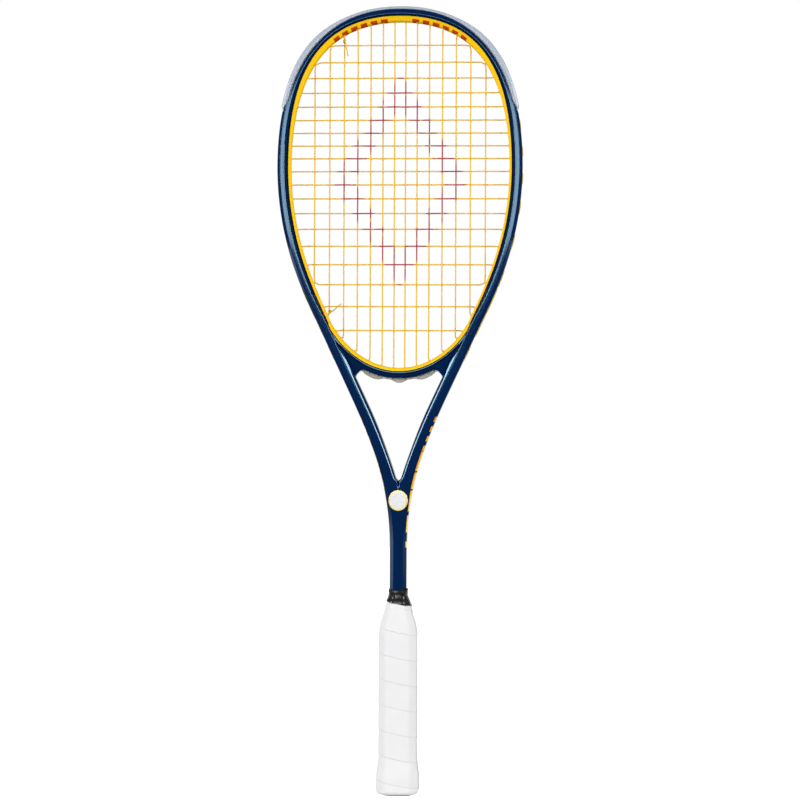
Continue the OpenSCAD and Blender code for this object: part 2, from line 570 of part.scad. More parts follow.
// Rings square to a path, kept at full width round its bends
MITRE = 0.75;
function path_rings(p) = let (n = len(p) - 1, r = string_d / 2) [for (j = [0:n]) let (
        before = unit(p[max(1, j)] - p[max(1, j) - 1]),
        after = unit(p[min(n, j + 1)] - p[min(n, j + 1) - 1]), d = unit(before + after),
        e1 = unit([0, 1, 0] - d[1] * d), e2 = cross(e1, d) / max(MITRE, before * d))
    [for (k = [0:STRING_SIDES - 1]) let (q = 360 * k / STRING_SIDES) p[j] + r * (cos(q) * e1 + sin(q) * e2)]];
// Least clearance between places of a path that aren't next to each other
function clear_of_itself(p) = let (n = len(p) - 1)
    min([for (i = [0:n - 2], j = [i + 2:n]) norm(p[i] - p[j])]) - string_d;
knot_r = 1.8;
KNOT_SHAPE = [[0, -1], [0.6, -1], [1, -0.4], [1, 0.4], [0.6, 1], [0, 1]];
module knot(p) {
    translate([p[0], 0, p[2]]) rotate_extrude()
        polygon(knot_r * KNOT_SHAPE);
}
module main_string() {
    color(amber) {
        loft(path_rings(MAIN_PATH));
        knot(tie_mouth - [0, 0, knot_drop]);
    }
    echo(main_string_clear_of_itself = clear_of_itself(MAIN_PATH));
}
module cross_string() {
    color(amber) {
        loft(path_rings(CROSS_PATH));
        difference() {
            knot(knot_mouth + [0, 0, knot_drop]);
            rod(mouth(knot_hole, knot_side, -lane), beside_knot, string_d / 2 + string_fit);
        }
    }
    echo(cross_string_clear_of_itself = clear_of_itself(CROSS_PATH));
}

// Handle outlines: an octagon with eased corners, from the right side's front corner round by the front
corner_ease = 1.3;
function octagon(hx, hy, b) = [[hx, b - hy], [hx - b, -hy], [b - hx, -hy], [-hx, b - hy],
    [-hx, hy - b], [b - hx, hy], [hx - b, hy], [hx, hy - b]];
function eased(o) = [for (i = [0:7]) let (a = o[(i + 7) % 8], c = o[i], e = o[(i + 1) % 8])
    each [c + corner_ease * unit(a - c), c + corner_ease * unit(e - c)]];
top_bevel = 4.2;
function handle_size(z) = let (f = ease(taper_z, pallet_top_z, z))
    [mix(pallet_w / 2, shaft_half + pallet_lip, f), mix(pallet_d / 2, shaft_d / 2 + pallet_lip, f),
        mix(pallet_bevel, top_bevel, f)];
FLARE_Z = [cap_h - 11, cap_h + 9];
function flare(z) = cap_wall * (1 - ease(FLARE_Z[0], FLARE_Z[1], z));
BEVEL_GAIN = 2 - sqrt(2);
// The handle's outline at a height, grown evenly by a given amount
function outline(z, grow) = let (s = handle_size(z))
    eased(octagon(s[0] + grow, s[1] + grow, s[2] + grow * BEVEL_GAIN));
function at_z(list, z) = [for (p = list) [p[0], p[1], z]];
SHAFT_Q = [for (q = OVAL_Q) if (q <= 90) q];
function shaft_outline(gap) = let (
        a = shaft_half + gap, h = shaft_d / 2 + gap,
        quarter = concat([for (y = [groove_half / 2, groove_half]) [oval_u(a, h, y), y]],
            [for (q = SHAFT_Q) oval(a, h, q)]),
        right = concat([for (p = reverse(quarter)) [p[0], -p[1]]], quarter))
    concat(right, [for (p = reverse(right)) if (p[0] > 0.001) [-p[0], p[1]]]);
foot_z = cap_floor + bond;
Z_PALLET = concat([foot_z, taper_z], [for (k = [1:6]) mix(taper_z, pallet_top_z, k / 6)]);
module handle_pallet() {
    color([0.55, 0.52, 0.45]) difference() {
        loft([for (z = Z_PALLET) at_z(outline(z, 0), z)]);
        translate([0, 0, foot_z - past]) linear_extrude(pallet_top_z + past) polygon(shaft_outline(bond));
        for (sgn = [-1, 1]) staple(sgn, bond);
    }
}

// Two staples hold the cap on the pallet, their crowns flush with the cap under the grip
staple_z = (cap_rim_h + cap_h) / 2;
staple_x = pallet_w / 2 + flare(staple_z) - staple_wire;
module staple(sgn, grow) {
    wire = staple_wire + 2 * grow;
    low = staple_z - wire / 2;
    mirror([sgn < 0 ? 1 : 0, 0, 0]) {
        translate([staple_x - grow, -staple_w / 2 - grow, low]) cube([wire, staple_w + 2 * grow, wire]);
        for (y = [-1, 1])
            translate([staple_x - staple_leg - grow, y * (staple_w - staple_wire) / 2 - wire / 2, low])
                cube([staple_leg + wire, wire, wire]);
    }
}
module left_staple() { color("silver") staple(-1, 0); }
module right_staple() { color("silver") staple(1, 0); }

// The cap: a bevelled rim under the grip, and a skirt that gives the handle its flare
RIM_INSET = [1.6, 0.65];
RIM_STEP = 0.35;
module butt_cap() {
    color([0.05, 0.05, 0.05]) difference() {
        loft([
            at_z(outline(0, cap_wall - RIM_INSET[0] * cap_bevel), 0),
            at_z(outline(0, cap_wall - RIM_INSET[1] * cap_bevel), RIM_STEP * cap_rim_h),
            at_z(outline(0, cap_wall), cap_rim_h),
            for (k = [0:5]) let (z = mix(FLARE_Z[0], cap_h, k / 5)) at_z(outline(0, flare(z)), z)]);
        translate([0, 0, cap_floor]) linear_extrude(cap_h) polygon(outline(0, bond));
        for (sgn = [-1, 1]) staple(sgn, bond);
    }
}

// The grip tape winds up the handle, with its ends cut level at the rim and under the finishing tape
grip_low = cap_rim_h + bond;
grip_short = 1;
grip_high = pallet_top_z - grip_short;
grip_w = grip_pitch - grip_seam;
tape_end = 3;
ACROSS = [1, 0.92, 0.5, 0.08, 0];
CROWN = [0.6, 1, 1, 1, 0.6];
CORNERS = len(outline(0, 0));
function lap(i) = let (o = outline(0, 0)) i <= 0 ? 0 : lap(i - 1) + norm(o[i % CORNERS] - o[i - 1]);
turn_at = [for (i = [0:CORNERS]) lap(i) / lap(CORNERS)];
function turns(j) = floor(j / CORNERS) + turn_at[j % CORNERS];
grip_turns = (grip_high - grip_low) / grip_pitch + 1;
J_GRIP = [for (j = [0:ceil(grip_turns) * CORNERS]) if (turns(j) * grip_pitch > tape_end
    && (grip_turns - turns(j)) * grip_pitch > tape_end) j];
function cut_level(z) = max(grip_low, min(grip_high, z));
function tape_low(j) = cut_level(grip_low + grip_pitch * (turns(j) - 1));
function tape_high(j) = cut_level(grip_low + grip_pitch * (turns(j) - 1) + grip_w);
function grip_pt(j, f, grow) = let (z = mix(tape_low(j), tape_high(j), f))
    at_z(outline(z, flare(z) + bond + grow), z)[j % CORNERS];
function grip_ring(j) = concat([for (k = [0:4]) grip_pt(j, ACROSS[k], grip_t * CROWN[k])],
    [for (f = [0, 0.5, 1]) grip_pt(j, f, 0)]);
module grip_tape() {
    color("white") loft([for (j = J_GRIP) grip_ring(j)]);
    echo(least_gap_of_the_winding = min([for (j = J_GRIP) if (turns(j) > 1 && j + CORNERS <= max(J_GRIP))
        tape_low(j + CORNERS) - tape_high(j)]));
}

// The finishing tape: a sleeve over the grip's end that closes on the shaft
shaft_ease = 0.45;
function toward(a, h, p) = p * pow(pow(abs(p[0]) / a, oval_n) + pow(abs(p[1]) / h, oval_n), -1 / oval_n);
function on_shaft(grow) = [for (p = outline(pallet_top_z, 0))
    toward(shaft_half + grow, shaft_d / 2 + grow, p)];
function over_grip(z, grow) = outline(z, flare(z) + grip_t + 2 * bond + grow);
module sleeve(grow, extra) {
    loft([
        at_z(over_grip(grip_high - finish_lap, grow), grip_high - finish_lap - extra),
        at_z(over_grip(grip_high, grow), grip_high + bond + grow),
        at_z(on_shaft(shaft_ease + grow), grip_high + 2 * grip_t + grow),
        at_z(on_shaft(shaft_ease + grow), grip_high + finish_len + extra)]);
}
module finishing_tape() {
    color([0.16, 0.16, 0.16]) difference() {
        sleeve(finish_t, 0);
        sleeve(0, past);
    }
}

frame();
throat_bridge();
bumper_guard();
left_grommet_strip();
right_grommet_strip();
throat_grommet_strip();
main_string();
cross_string();
handle_pallet();
butt_cap();
left_staple();
right_staple();
grip_tape();
finishing_tape();
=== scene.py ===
import bmesh
import bpy
import numpy as np
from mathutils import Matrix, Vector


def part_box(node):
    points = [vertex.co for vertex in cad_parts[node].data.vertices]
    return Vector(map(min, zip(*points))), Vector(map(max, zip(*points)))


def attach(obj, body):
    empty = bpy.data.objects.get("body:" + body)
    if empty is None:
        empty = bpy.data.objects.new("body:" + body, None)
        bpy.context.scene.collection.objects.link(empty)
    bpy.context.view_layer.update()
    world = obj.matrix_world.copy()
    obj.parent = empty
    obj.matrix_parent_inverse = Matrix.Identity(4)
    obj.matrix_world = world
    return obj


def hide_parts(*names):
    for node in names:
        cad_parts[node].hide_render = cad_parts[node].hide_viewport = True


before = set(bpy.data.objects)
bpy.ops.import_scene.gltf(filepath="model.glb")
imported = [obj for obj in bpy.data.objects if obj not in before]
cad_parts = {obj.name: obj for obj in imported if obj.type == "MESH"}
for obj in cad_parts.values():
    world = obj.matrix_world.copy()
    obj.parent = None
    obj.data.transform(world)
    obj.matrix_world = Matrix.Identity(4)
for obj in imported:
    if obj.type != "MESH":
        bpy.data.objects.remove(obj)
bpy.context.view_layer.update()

# The frame is one hollow carbon fibre tube, moulded hot into hoop, arms and shaft over an air bladder.
# It is drilled for the strings, sprayed navy with a yellow inner face, and lacquered to a high gloss.
MM = 0.001
BUMPER_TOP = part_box("bumper_guard")[1].z / MM
BUMPER_PROUD = 1.0
TUBE_W, ARM_W, SHAFT_W = 11.5, 10.7, 14.8
TUBE_D, ARM_D, SHAFT_D = 19.0, 20.0, 19.0
ARM_LEAN = np.radians(25.0)
ARM_DIR = np.array([-np.sin(ARM_LEAN), -np.cos(ARM_LEAN)])
TIP = np.array([0.0, BUMPER_TOP - BUMPER_PROUD - TUBE_W / 2])
HEAD_W, WIDEST_Z, ARM_LEN = 213.5, 546.0, 68.0
SIDE = np.array([(HEAD_W - TUBE_W) / 2, WIDEST_Z])
ARM_TOP = np.array([66.5, 412.0])
ARM_END = ARM_TOP + ARM_LEN * ARM_DIR
SHAFT_TOP = np.array([0.0, 214.0])
SHAFT_FOOT = np.array([0.0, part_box("frame")[0].z / MM])
TIP_REACH, SHOULDER_REACH, HIP_REACH, ARM_LEAD = 75.0, 75.0, 64.0, 27.0
ARM_PULL, MERGE_REACH, SHAFT_REACH = 22.7, 53.0, 52.5
LEGS = [
    (TIP, TIP + [TIP_REACH, 0], SIDE + [0, SHOULDER_REACH], SIDE),
    (SIDE, SIDE - [0, HIP_REACH], ARM_TOP - ARM_LEAD * ARM_DIR, ARM_TOP),
    (ARM_TOP, ARM_TOP + ARM_PULL * ARM_DIR, ARM_END - ARM_PULL * ARM_DIR, ARM_END),
    (ARM_END, ARM_END + MERGE_REACH * ARM_DIR, SHAFT_TOP + [0, SHAFT_REACH], SHAFT_TOP),
    (SHAFT_TOP, (2 * SHAFT_TOP + SHAFT_FOOT) / 3, (SHAFT_TOP + 2 * SHAFT_FOOT) / 3, SHAFT_FOOT)]


def ease(first, last, x):
    """Smooth step from 0 at first to 1 at last, with no slope at either end; first may be the greater."""
    f = np.clip((np.asarray(x, float) - first) / (last - first), 0, 1)
    return f * f * (3 - 2 * f)


def bezier(points, f):
    """Places and unit directions on a cubic curve: its four points weighted by the Bernstein terms of f."""
    p, f = np.asarray(points, float), np.asarray(f, float)[:, None]
    g = 1 - f
    place = g ** 3 * p[0] + 3 * g * g * f * p[1] + 3 * g * f * f * p[2] + f ** 3 * p[3]
    way = g * g * (p[1] - p[0]) + 2 * g * f * (p[2] - p[1]) + f * f * (p[3] - p[2])
    return place, way / np.linalg.norm(way, axis=1, keepdims=True)


def spine(t):
    """Middle line of the right half: its place and its outward direction at t, which is 0 at the tip, 1 at
    the widest place, 2 at the arm's top, 3 at its end, 4 at the shaft's top and 5 at the butt."""
    t = np.atleast_1d(np.asarray(t, float))
    leg = np.clip(np.floor(t), 0, len(LEGS) - 1)
    place, way = np.zeros((len(t), 2)), np.zeros((len(t), 2))
    for k, points in enumerate(LEGS):
        place[leg == k], way[leg == k] = bezier(points, t[leg == k] - k)
    return place, np.stack([-way[:, 1], way[:, 0]], 1)


def t_at(height, first, last):
    """The t where the falling middle line passes a height, read off a fine table of it."""
    t = np.linspace(first, last, 4001)
    return float(np.interp(-height, -spine(t)[0][:, 1], t))


FINE_T = np.linspace(0, len(LEGS), 10001)
FINE_RUN = np.r_[0, np.cumsum(np.linalg.norm(np.diff(spine(FINE_T)[0], axis=0), axis=1))]


def run_of(t):
    """Length along the middle line from the tip to t, in millimetres."""
    return np.interp(t, FINE_T, FINE_RUN)


def half_width(t):
    """Half width of the tube: even round the head, then to the arms, then to the shaft."""
    head = TUBE_W + (ARM_W - TUBE_W) * np.clip(t - 1, 0, 1) ** 2
    return (head + (SHAFT_W - ARM_W) * ease(3, 4, t)) / 2


def half_depth(t):
    """Half depth of the tube: the arms are a little deeper than the hoop and the shaft."""
    return (TUBE_D + (ARM_D - TUBE_D) * ease(1, 2, t) + (SHAFT_D - ARM_D) * ease(3, 4, t)) / 2


SEAT_TOP, SEAT_SIDE, GROOVE_DEPTH, GROOVE_HALF = 2.0, 3.6, 1.6, 2.8
BUMPER_END_Z, BUMPER_TAPER, SEAT_RUNOUT, STRIP_END_Z, GROOVE_FADE = 593.0, 11.0, 2.75, 369.0, 0.06
BUMPER_END = t_at(BUMPER_END_Z, 0.05, 1)
SEAT_START, SEAT_END = np.interp(run_of(BUMPER_END) + [-BUMPER_TAPER, SEAT_RUNOUT], FINE_RUN, FINE_T)
GROOVE_END = t_at(STRIP_END_Z, 2, 3)


def seat(t):
    """How much of the bumper's seat is cut at t, from 1 under the bumper to 0 past its end."""
    return 1 - ease(SEAT_START, SEAT_END, t)


def seat_depth(t):
    """Depth of the bumper's seat: shallow at the tip, deeper down the shoulders of the head."""
    return (SEAT_TOP + (SEAT_SIDE - SEAT_TOP) * ease(0.1, 0.45, t)) * seat(t)


def groove(t):
    """How much of the string groove is cut at t: it runs from the bumper's end to the arm."""
    return ease(SEAT_START, SEAT_END, t) * (1 - ease(GROOVE_END, GROOVE_END + GROOVE_FADE, t))


SQUARENESS = 2.5


def soft(v):
    """A sine or cosine raised to the power that squares up an ellipse, sign kept."""
    return np.sign(v) * np.abs(v) ** (2 / SQUARENESS)


def oval_reach(a, h, y):
    """Distance outwards of the squared-up oval with half sizes a and h, at depth y."""
    return a * (1 - np.minimum(1, np.abs(y) / h) ** SQUARENESS) ** (1 / SQUARENESS)


def groove_floor(t):
    """Half width of the groove's or seat's floor at t, and its distance outwards."""
    y = GROOVE_HALF * (1 + np.maximum(seat(t), groove(t))) / 2
    a = half_width(t)
    cut = oval_reach(a, half_depth(t), y) - GROOVE_DEPTH * groove(t)
    return y, np.minimum(a - seat_depth(t), cut)


FACE_TILT, FACE_POWER = np.radians(4.0), 80.0
SHOULDER, SLANT_OUT = 0.52, np.radians(38.0)
SLANT_HOOP, SLANT_MORE = np.radians(41.0), np.radians(24.0)
BEVEL_W, BEVEL_WEB, BEVEL_LEAN = 1.9, 1.1, np.radians(32.6)
CROTCH_R, CROTCH_OPEN, WEB_DROP, MEETING = 2.7, 1.2, 10.0, 0.01
OPEN_SPAN, LEVEL_SPAN, WALL_SPAN, JOINED_SPAN = (3.1, 3.45), (2.75, 3.1), (1.6, 2.1), (3.2, 3.9)
BEVEL_START, BEVEL_END, BEVEL_NARROWS, TILT_END = (2.35, 2.6), (3.85, 3.68), (2.9, 2.65), (1.5, 2.0)
CORNER_HOOP, CORNER_ARM, CORNER_SHAFT = 0.04, 0.36, 0.3


def bevel_lean(t):
    """Lean of the narrow bevel: flatter where the throat's corner is opened, which squeezes the section."""
    return np.arctan(np.tan(BEVEL_LEAN) * (1 - CROTCH_OPEN / half_width(t) * ease(*OPEN_SPAN, t)))


def inner_faces(t):
    """The inner front of the tube, at each t: how far inwards the front face ends, the width of the narrow
    bevel along the throat arms, and the lean of the wall below it."""
    corner = CORNER_HOOP + CORNER_ARM * ease(*WALL_SPAN, t) + CORNER_SHAFT * ease(*JOINED_SPAN, t)
    bevel = (BEVEL_W + BEVEL_WEB * ease(*BEVEL_NARROWS, t)) * ease(*BEVEL_START, t) * ease(*BEVEL_END, t)
    return half_width(t) * corner, bevel, SLANT_HOOP + SLANT_MORE * ease(*WALL_SPAN, t)


def inner_reach(t, depth):
    """Distance inwards of the tube's surface at a depth: along the slanted wall below the bevel, and no
    further than the half width."""
    corner, bevel, lean = inner_faces(t)
    fall = half_depth(t) - bevel * np.sin(bevel_lean(t)) - np.abs(depth)
    return np.minimum(half_width(t), corner + bevel * np.cos(bevel_lean(t)) + fall / np.tan(lean))


def tube_section(t):
    """Closed outline at each t, as distance outwards and depth: groove floor, groove lip, then five faces
    with soft corners and a bevel, round to the inner wall. In each direction the reach is a high-power mean
    of the faces' own reaches."""
    a, h = half_width(t)[:, None], half_depth(t)[:, None]
    floor_y, floor_u = groove_floor(t)
    limit = a - seat_depth(t)[:, None]
    lip_y = GROOVE_HALF * (1 + 0.6 * seat(t)[:, None])
    tilt = FACE_TILT * (1 - ease(*TILT_END, t)[:, None])
    corner, bevel, lean = (value[:, None] for value in inner_faces(t))
    shoulder = a * SHOULDER
    slope = bevel_lean(t)[:, None]
    wall = (corner + bevel * np.cos(slope)) * np.sin(lean) + (h - bevel * np.sin(slope)) * np.cos(lean)
    q = np.radians(np.r_[np.linspace(33, 60, 12), np.linspace(61.5, 75, 18), np.linspace(77, 88, 6),
                         np.linspace(89, 116, 32), np.linspace(118, 146, 12), np.linspace(152, 180, 4)])
    faces = [(0.0, a), (SLANT_OUT, shoulder * np.cos(SLANT_OUT) + h * np.sin(SLANT_OUT)),
             (np.pi / 2 - tilt, h * np.cos(tilt)),
             (np.pi / 2 + slope, corner * np.sin(slope) + h * np.cos(slope)),
             (np.pi / 2 + lean, wall), (np.pi, a)]
    total = sum(np.maximum(0, np.cos(q - way) / reach) ** FACE_POWER for way, reach in faces)
    radius = total ** (-1 / FACE_POWER)
    rise_y = lip_y + 0.05 * np.arange(1, len(q) + 1)
    side_y = np.where(q < np.pi / 2, np.maximum(rise_y, radius * np.sin(q)), radius * np.sin(q))
    u = np.hstack([np.repeat(floor_u[:, None], 4, 1), np.minimum(limit, oval_reach(a, h, lip_y)),
                   np.minimum(limit, radius * np.cos(q))])
    y = np.hstack([floor_y[:, None] * np.linspace(0, 1, 4), lip_y, side_y])
    y[:, -1] = 0
    return np.hstack([u, u[:, -2:0:-1]]), np.hstack([y, -y[:, -2:0:-1]])


inner_gap = spine(FINE_T)[0][:, 0] - half_width(FINE_T) / np.maximum(0.2, spine(FINE_T)[1][:, 0])
inner_gap = inner_gap + CROTCH_OPEN * ease(*OPEN_SPAN, FINE_T)
past_arm = (FINE_T > 3) & (FINE_T < 4)
APEX_T = float(np.interp(0, -inner_gap[past_arm], FINE_T[past_arm]))
APEX_Z = float(spine(APEX_T)[0][0, 1])
above = spine(APEX_T - 0.1)[0][0]
APEX_LEAN = np.arctan2(np.interp(APEX_T - 0.1, FINE_T, inner_gap), above[1] - APEX_Z)
CROTCH_MID = APEX_Z + CROTCH_R / np.sin(APEX_LEAN)
CROTCH_Z = CROTCH_MID - CROTCH_R


def tube_rings(t):
    """Rings of the right half, and each point's share of the half width outwards. Below the arms the rings
    lie level, round off the open throat's corner and, under it, fill the valley between the two arms until
    they are one shaft."""
    place, outward = spine(t)
    u, y = tube_section(t)
    level = ease(*LEVEL_SPAN, t)[:, None]
    k = 1 / np.maximum(0.2, outward[:, :1])
    across = (1 - level) * outward + level * np.hstack([k, 0 * k])
    x = place[:, :1] + u * across[:, :1]
    z = place[:, 1:] + u * across[:, 1:]
    a, h = half_width(t)[:, None], half_depth(t)[:, None]
    height, middle = place[:, 1:], place[:, :1]
    gap = middle - k * a + CROTCH_OPEN * ease(*OPEN_SPAN, t)[:, None]
    bow = np.sqrt(np.maximum(0, CROTCH_R ** 2 - (height - CROTCH_MID) ** 2))
    touch = CROTCH_MID - CROTCH_R * np.sin(APEX_LEAN)
    rounded = np.where(height > CROTCH_Z, np.minimum(bow, gap), np.minimum(gap, 0))
    inner = np.where(height >= touch, gap, rounded)
    fused = (t[:, None] > OPEN_SPAN[0]) & (u < 0)
    x = np.where(fused, middle - u / a * (inner - middle), x)
    x = np.where((t[:, None] > 2.9) & (x < MEETING), 0, x)
    fill = ease(CROTCH_Z + 1, CROTCH_Z - WEB_DROP, height)
    y = np.where(fused, np.sign(y) * (np.abs(y) + (h - np.abs(y)) * fill), y)
    return np.stack([x, y, z], -1), u / a


def grid_faces(rows, columns, closed):
    """Quads of a grid of rows by columns, with the last column joined to the first where it is closed."""
    j, i = np.meshgrid(np.arange(rows - 1), np.arange(columns if closed else columns - 1), indexing="ij")
    k = (i + 1) % columns
    quads = np.stack([j * columns + i, j * columns + k, (j + 1) * columns + k, (j + 1) * columns + i], -1)
    return quads.reshape(-1, 4)


def add_object(name, data):
    """A new object with its data, linked into the scene."""
    added = bpy.data.objects.new(name, data)
    bpy.context.scene.collection.objects.link(added)
    return added


def make_piece(name, points, faces, uv=None, crease=35.0):
    """A smooth-shaded mesh object from points in millimetres, with an optional UV pair for each point."""
    mesh = bpy.data.meshes.new(name)
    mesh.from_pydata((np.asarray(points, float).reshape(-1, 3) * MM).tolist(), [], [list(f) for f in faces])
    if uv is not None:
        corner = np.zeros(len(mesh.loops), np.int32)
        mesh.loops.foreach_get("vertex_index", corner)
        layer = mesh.uv_layers.new(name="paint")
        layer.data.foreach_set("uv", np.asarray(uv, np.float32).reshape(-1, 2)[corner].ravel())
    piece = add_object(name, mesh)
    shell = bmesh.new()
    shell.from_mesh(mesh)
    bmesh.ops.remove_doubles(shell, verts=shell.verts, dist=2e-6)
    bmesh.ops.dissolve_degenerate(shell, edges=shell.edges, dist=1e-7)
    bmesh.ops.recalc_face_normals(shell, faces=shell.faces)
    shell.to_mesh(mesh)
    shell.free()
    mesh.shade_smooth()
    mesh.set_sharp_from_angle(angle=np.radians(crease))
    return piece


def new_material(name):
    """A node material with its tree and its main shader."""
    material = bpy.data.materials.new(name)
    material.use_nodes = True
    return material, material.node_tree, material.node_tree.nodes["Principled BSDF"]


def put(tree, socket, value):
    """Links a socket to another, or sets its plain value."""
    if isinstance(value, bpy.types.NodeSocket):
        tree.links.new(value, socket)
    else:
        socket.default_value = value


def math(tree, operation, a, b=0.0):
    """One sum, product or other operation on two values."""
    node = tree.nodes.new("ShaderNodeMath")
    node.operation = operation
    put(tree, node.inputs[0], a)
    put(tree, node.inputs[1], b)
    return node.outputs[0]


def rise(tree, value, first, last):
    """0 below first and 1 above last, smooth between; a last below first makes it fall."""
    node = tree.nodes.new("ShaderNodeMapRange")
    node.interpolation_type = "SMOOTHSTEP"
    put(tree, node.inputs["Value"], value)
    node.inputs["From Min"].default_value = min(first, last)
    node.inputs["From Max"].default_value = max(first, last)
    node.inputs["To Min"].default_value = 0 if last > first else 1
    node.inputs["To Max"].default_value = 1 if last > first else 0
    return node.outputs["Result"]


def product(tree, first, *others):
    """Several values multiplied together."""
    for value in others:
        first = math(tree, "MULTIPLY", first, value)
    return first


def between(tree, value, low, high, edge):
    """1 from low to high and 0 outside, smooth over an edge inside each of the two."""
    return product(tree, rise(tree, value, low, low + edge), rise(tree, value, high, high - edge))


def blend_colour(tree, share, a, b):
    """Colour a where the share is 0 and b where it is 1."""
    node = tree.nodes.new("ShaderNodeMix")
    node.data_type = "RGBA"
    put(tree, node.inputs[0], share)
    put(tree, node.inputs[6], a)
    put(tree, node.inputs[7], b)
    return node.outputs[2]


def object_place(tree):
    """Object coordinates, whole and as x, y and z."""
    place = tree.nodes.new("ShaderNodeTexCoord").outputs["Object"]
    split = tree.nodes.new("ShaderNodeSeparateXYZ")
    tree.links.new(place, split.inputs[0])
    return place, split.outputs


def surface_place(tree):
    """The two values of the piece's own UV map."""
    paint = tree.nodes.new("ShaderNodeUVMap")
    paint.uv_map = "paint"
    split = tree.nodes.new("ShaderNodeSeparateXYZ")
    tree.links.new(paint.outputs[0], split.inputs[0])
    return split.outputs[0], split.outputs[1]


def noise(tree, place, scale, detail=3.0):
    """Cloudy noise from 0 to 1 at a scale in features per metre."""
    node = tree.nodes.new("ShaderNodeTexNoise")
    tree.links.new(place, node.inputs["Vector"])
    node.inputs["Scale"].default_value = scale
    node.inputs["Detail"].default_value = detail
    return node.outputs["Fac"]


def shine(tree, shader, cloud, least, spread):
    """Roughness that drifts with a cloudy value: the least, plus the spread times the cloud."""
    rough = math(tree, "ADD", product(tree, cloud, spread), least)
    tree.links.new(rough, shader.inputs["Roughness"])


def bump(tree, shader, height, strength, distance):
    """Surface relief from a height value, in metres."""
    node = tree.nodes.new("ShaderNodeBump")
    tree.links.new(height, node.inputs["Height"])
    node.inputs["Strength"].default_value = strength
    node.inputs["Distance"].default_value = distance
    tree.links.new(node.outputs["Normal"], shader.inputs["Normal"])


def finish_piece(piece, material, slot, *nodes):
    """Gives a piece its material and its body, and hides the CAD nodes that it stands for. The slot is not
    used.
    """
    piece.data.materials.append(material)
    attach(piece, "root")
    if nodes:
        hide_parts(*nodes)


tube_t = np.unique(np.r_[np.linspace(0, 2, 141), np.linspace(SEAT_START, SEAT_END, 24),
                         np.linspace(GROOVE_END, GROOVE_END + GROOVE_FADE, 7), np.linspace(2, 3, 25),
                         np.linspace(2.06, 2.28, 15), np.linspace(3, 4, 71), np.linspace(4, 5, 4)])
right_half, share_out = tube_rings(tube_t)
ring_count, ring_points = right_half.shape[:2]
tube_points = np.concatenate([right_half, right_half * [-1, 1, 1]])
tube_quads = grid_faces(ring_count, ring_points, True)
foot_ring = (ring_count - 1) * ring_points + np.arange(ring_points)
off_middle = right_half.reshape(-1, 3)[tube_quads][:, :, 0].max(1) > 1e-6
tube_quads = tube_quads[off_middle]
tube_faces = tube_quads.tolist() + (tube_quads[:, ::-1] + ring_count * ring_points).tolist()
tube_faces += [foot_ring.tolist(), (foot_ring[::-1] + ring_count * ring_points).tolist()]
# The paint map's second value is the share of the half width outwards, shifted so that the yellow is widest
# at the tip, narrows down the sides of the head and runs out beside the bridge.
SIDE_YELLOW, TIP_YELLOW, THIN_YELLOW, ARM_SHIFT = 0.32, 0.17, 0.25, 2.75
YELLOW_THINS, YELLOW_LAST, YELLOW_ENDS = 2.08, 2.24, 2.27
PAST_YELLOW = SIDE_YELLOW - TIP_YELLOW + THIN_YELLOW + ARM_SHIFT
paint_edge = SIDE_YELLOW * ease(0.3, 1.0, tube_t) - TIP_YELLOW
paint_edge = paint_edge + THIN_YELLOW * ease(YELLOW_THINS, YELLOW_LAST, tube_t)
paint_edge = paint_edge + ARM_SHIFT * ease(YELLOW_LAST, YELLOW_ENDS, tube_t)
paint_v = share_out + paint_edge[:, None]
paint_u = np.repeat(run_of(tube_t)[:, None], ring_points, 1)
paint_uv = np.stack([paint_u, paint_v], -1).reshape(-1, 2)
tube = make_piece("frame_tube", tube_points, tube_faces, np.concatenate([paint_uv, paint_uv * [-1, 1]]))

NAVY, DEEP_NAVY, PAINTED_SHADE_NAVY = (0.0006, 0.0175, 0.082, 1), (0.0005, 0.011, 0.05, 1), (0.0012, 0.004, 0.014, 1)
YELLOW, HIGHLIGHT_YELLOW = (0.95, 0.58, 0.01, 1), (0.95, 0.7, 0.12, 1)
ORANGE, RED, BLUE_GLINT = (0.92, 0.36, 0.012, 1), (0.5, 0.04, 0.004, 1), (0.42, 0.78, 1.0, 1)
DASH_PITCH, DASH_SHARE, DASH_REACH, DASH_HALF = 9.5, (0.12, 0.83), (8.0, 66.0), 6.6 * MM
STRIPE_Z, STRIPE_EDGE = (214.5 * MM, 298.5 * MM), 0.5 * MM
STRIPE_GAPS = ((223.9, 3.7), (244.4, 1.5), (265.0, 0.4), (280.6, 0.4))
BLOCK_PITCH, BLOCK_SHARE, BLOCK_TOP, BLOCK_FADE = 8.5 * MM, (0.1, 0.7), 330.0 * MM, 3.0 * MM
MARK_FROM, MARK_SET_BACK, MARK_NARROWING = (0.72, 0.76), 0.2, 0.12
MARK_HIGHLIGHT, MARK_HIGHLIGHT_Z = (0.82, 0.95), (300.0 * MM, 295.0 * MM)
lacquer, tree, shader = new_material("navy_lacquer")
place, (px, py, pz) = object_place(tree)
along, paint_out = surface_place(tree)
body = blend_colour(tree, noise(tree, place, 14, 2.0), NAVY, DEEP_NAVY)
inner_face = rise(tree, paint_out, -0.49, -0.55)
dash = math(tree, "FRACT", math(tree, "DIVIDE", along, DASH_PITCH))
dash = between(tree, dash, *DASH_SHARE, 0.05)
in_row = rise(tree, math(tree, "ABSOLUTE", py), DASH_HALF, DASH_HALF - 0.6 * MM)
dash = product(tree, dash, in_row, between(tree, math(tree, "ABSOLUTE", along), *DASH_REACH, 2.0))
inner_colour = blend_colour(tree, product(tree, dash, 0.97), YELLOW, RED)
stripe = between(tree, pz, *STRIPE_Z, STRIPE_EDGE)
for middle, half in STRIPE_GAPS:
    off = math(tree, "ABSOLUTE", math(tree, "SUBTRACT", pz, middle * MM))
    stripe = product(tree, stripe, rise(tree, off, half * MM, half * MM + STRIPE_EDGE))
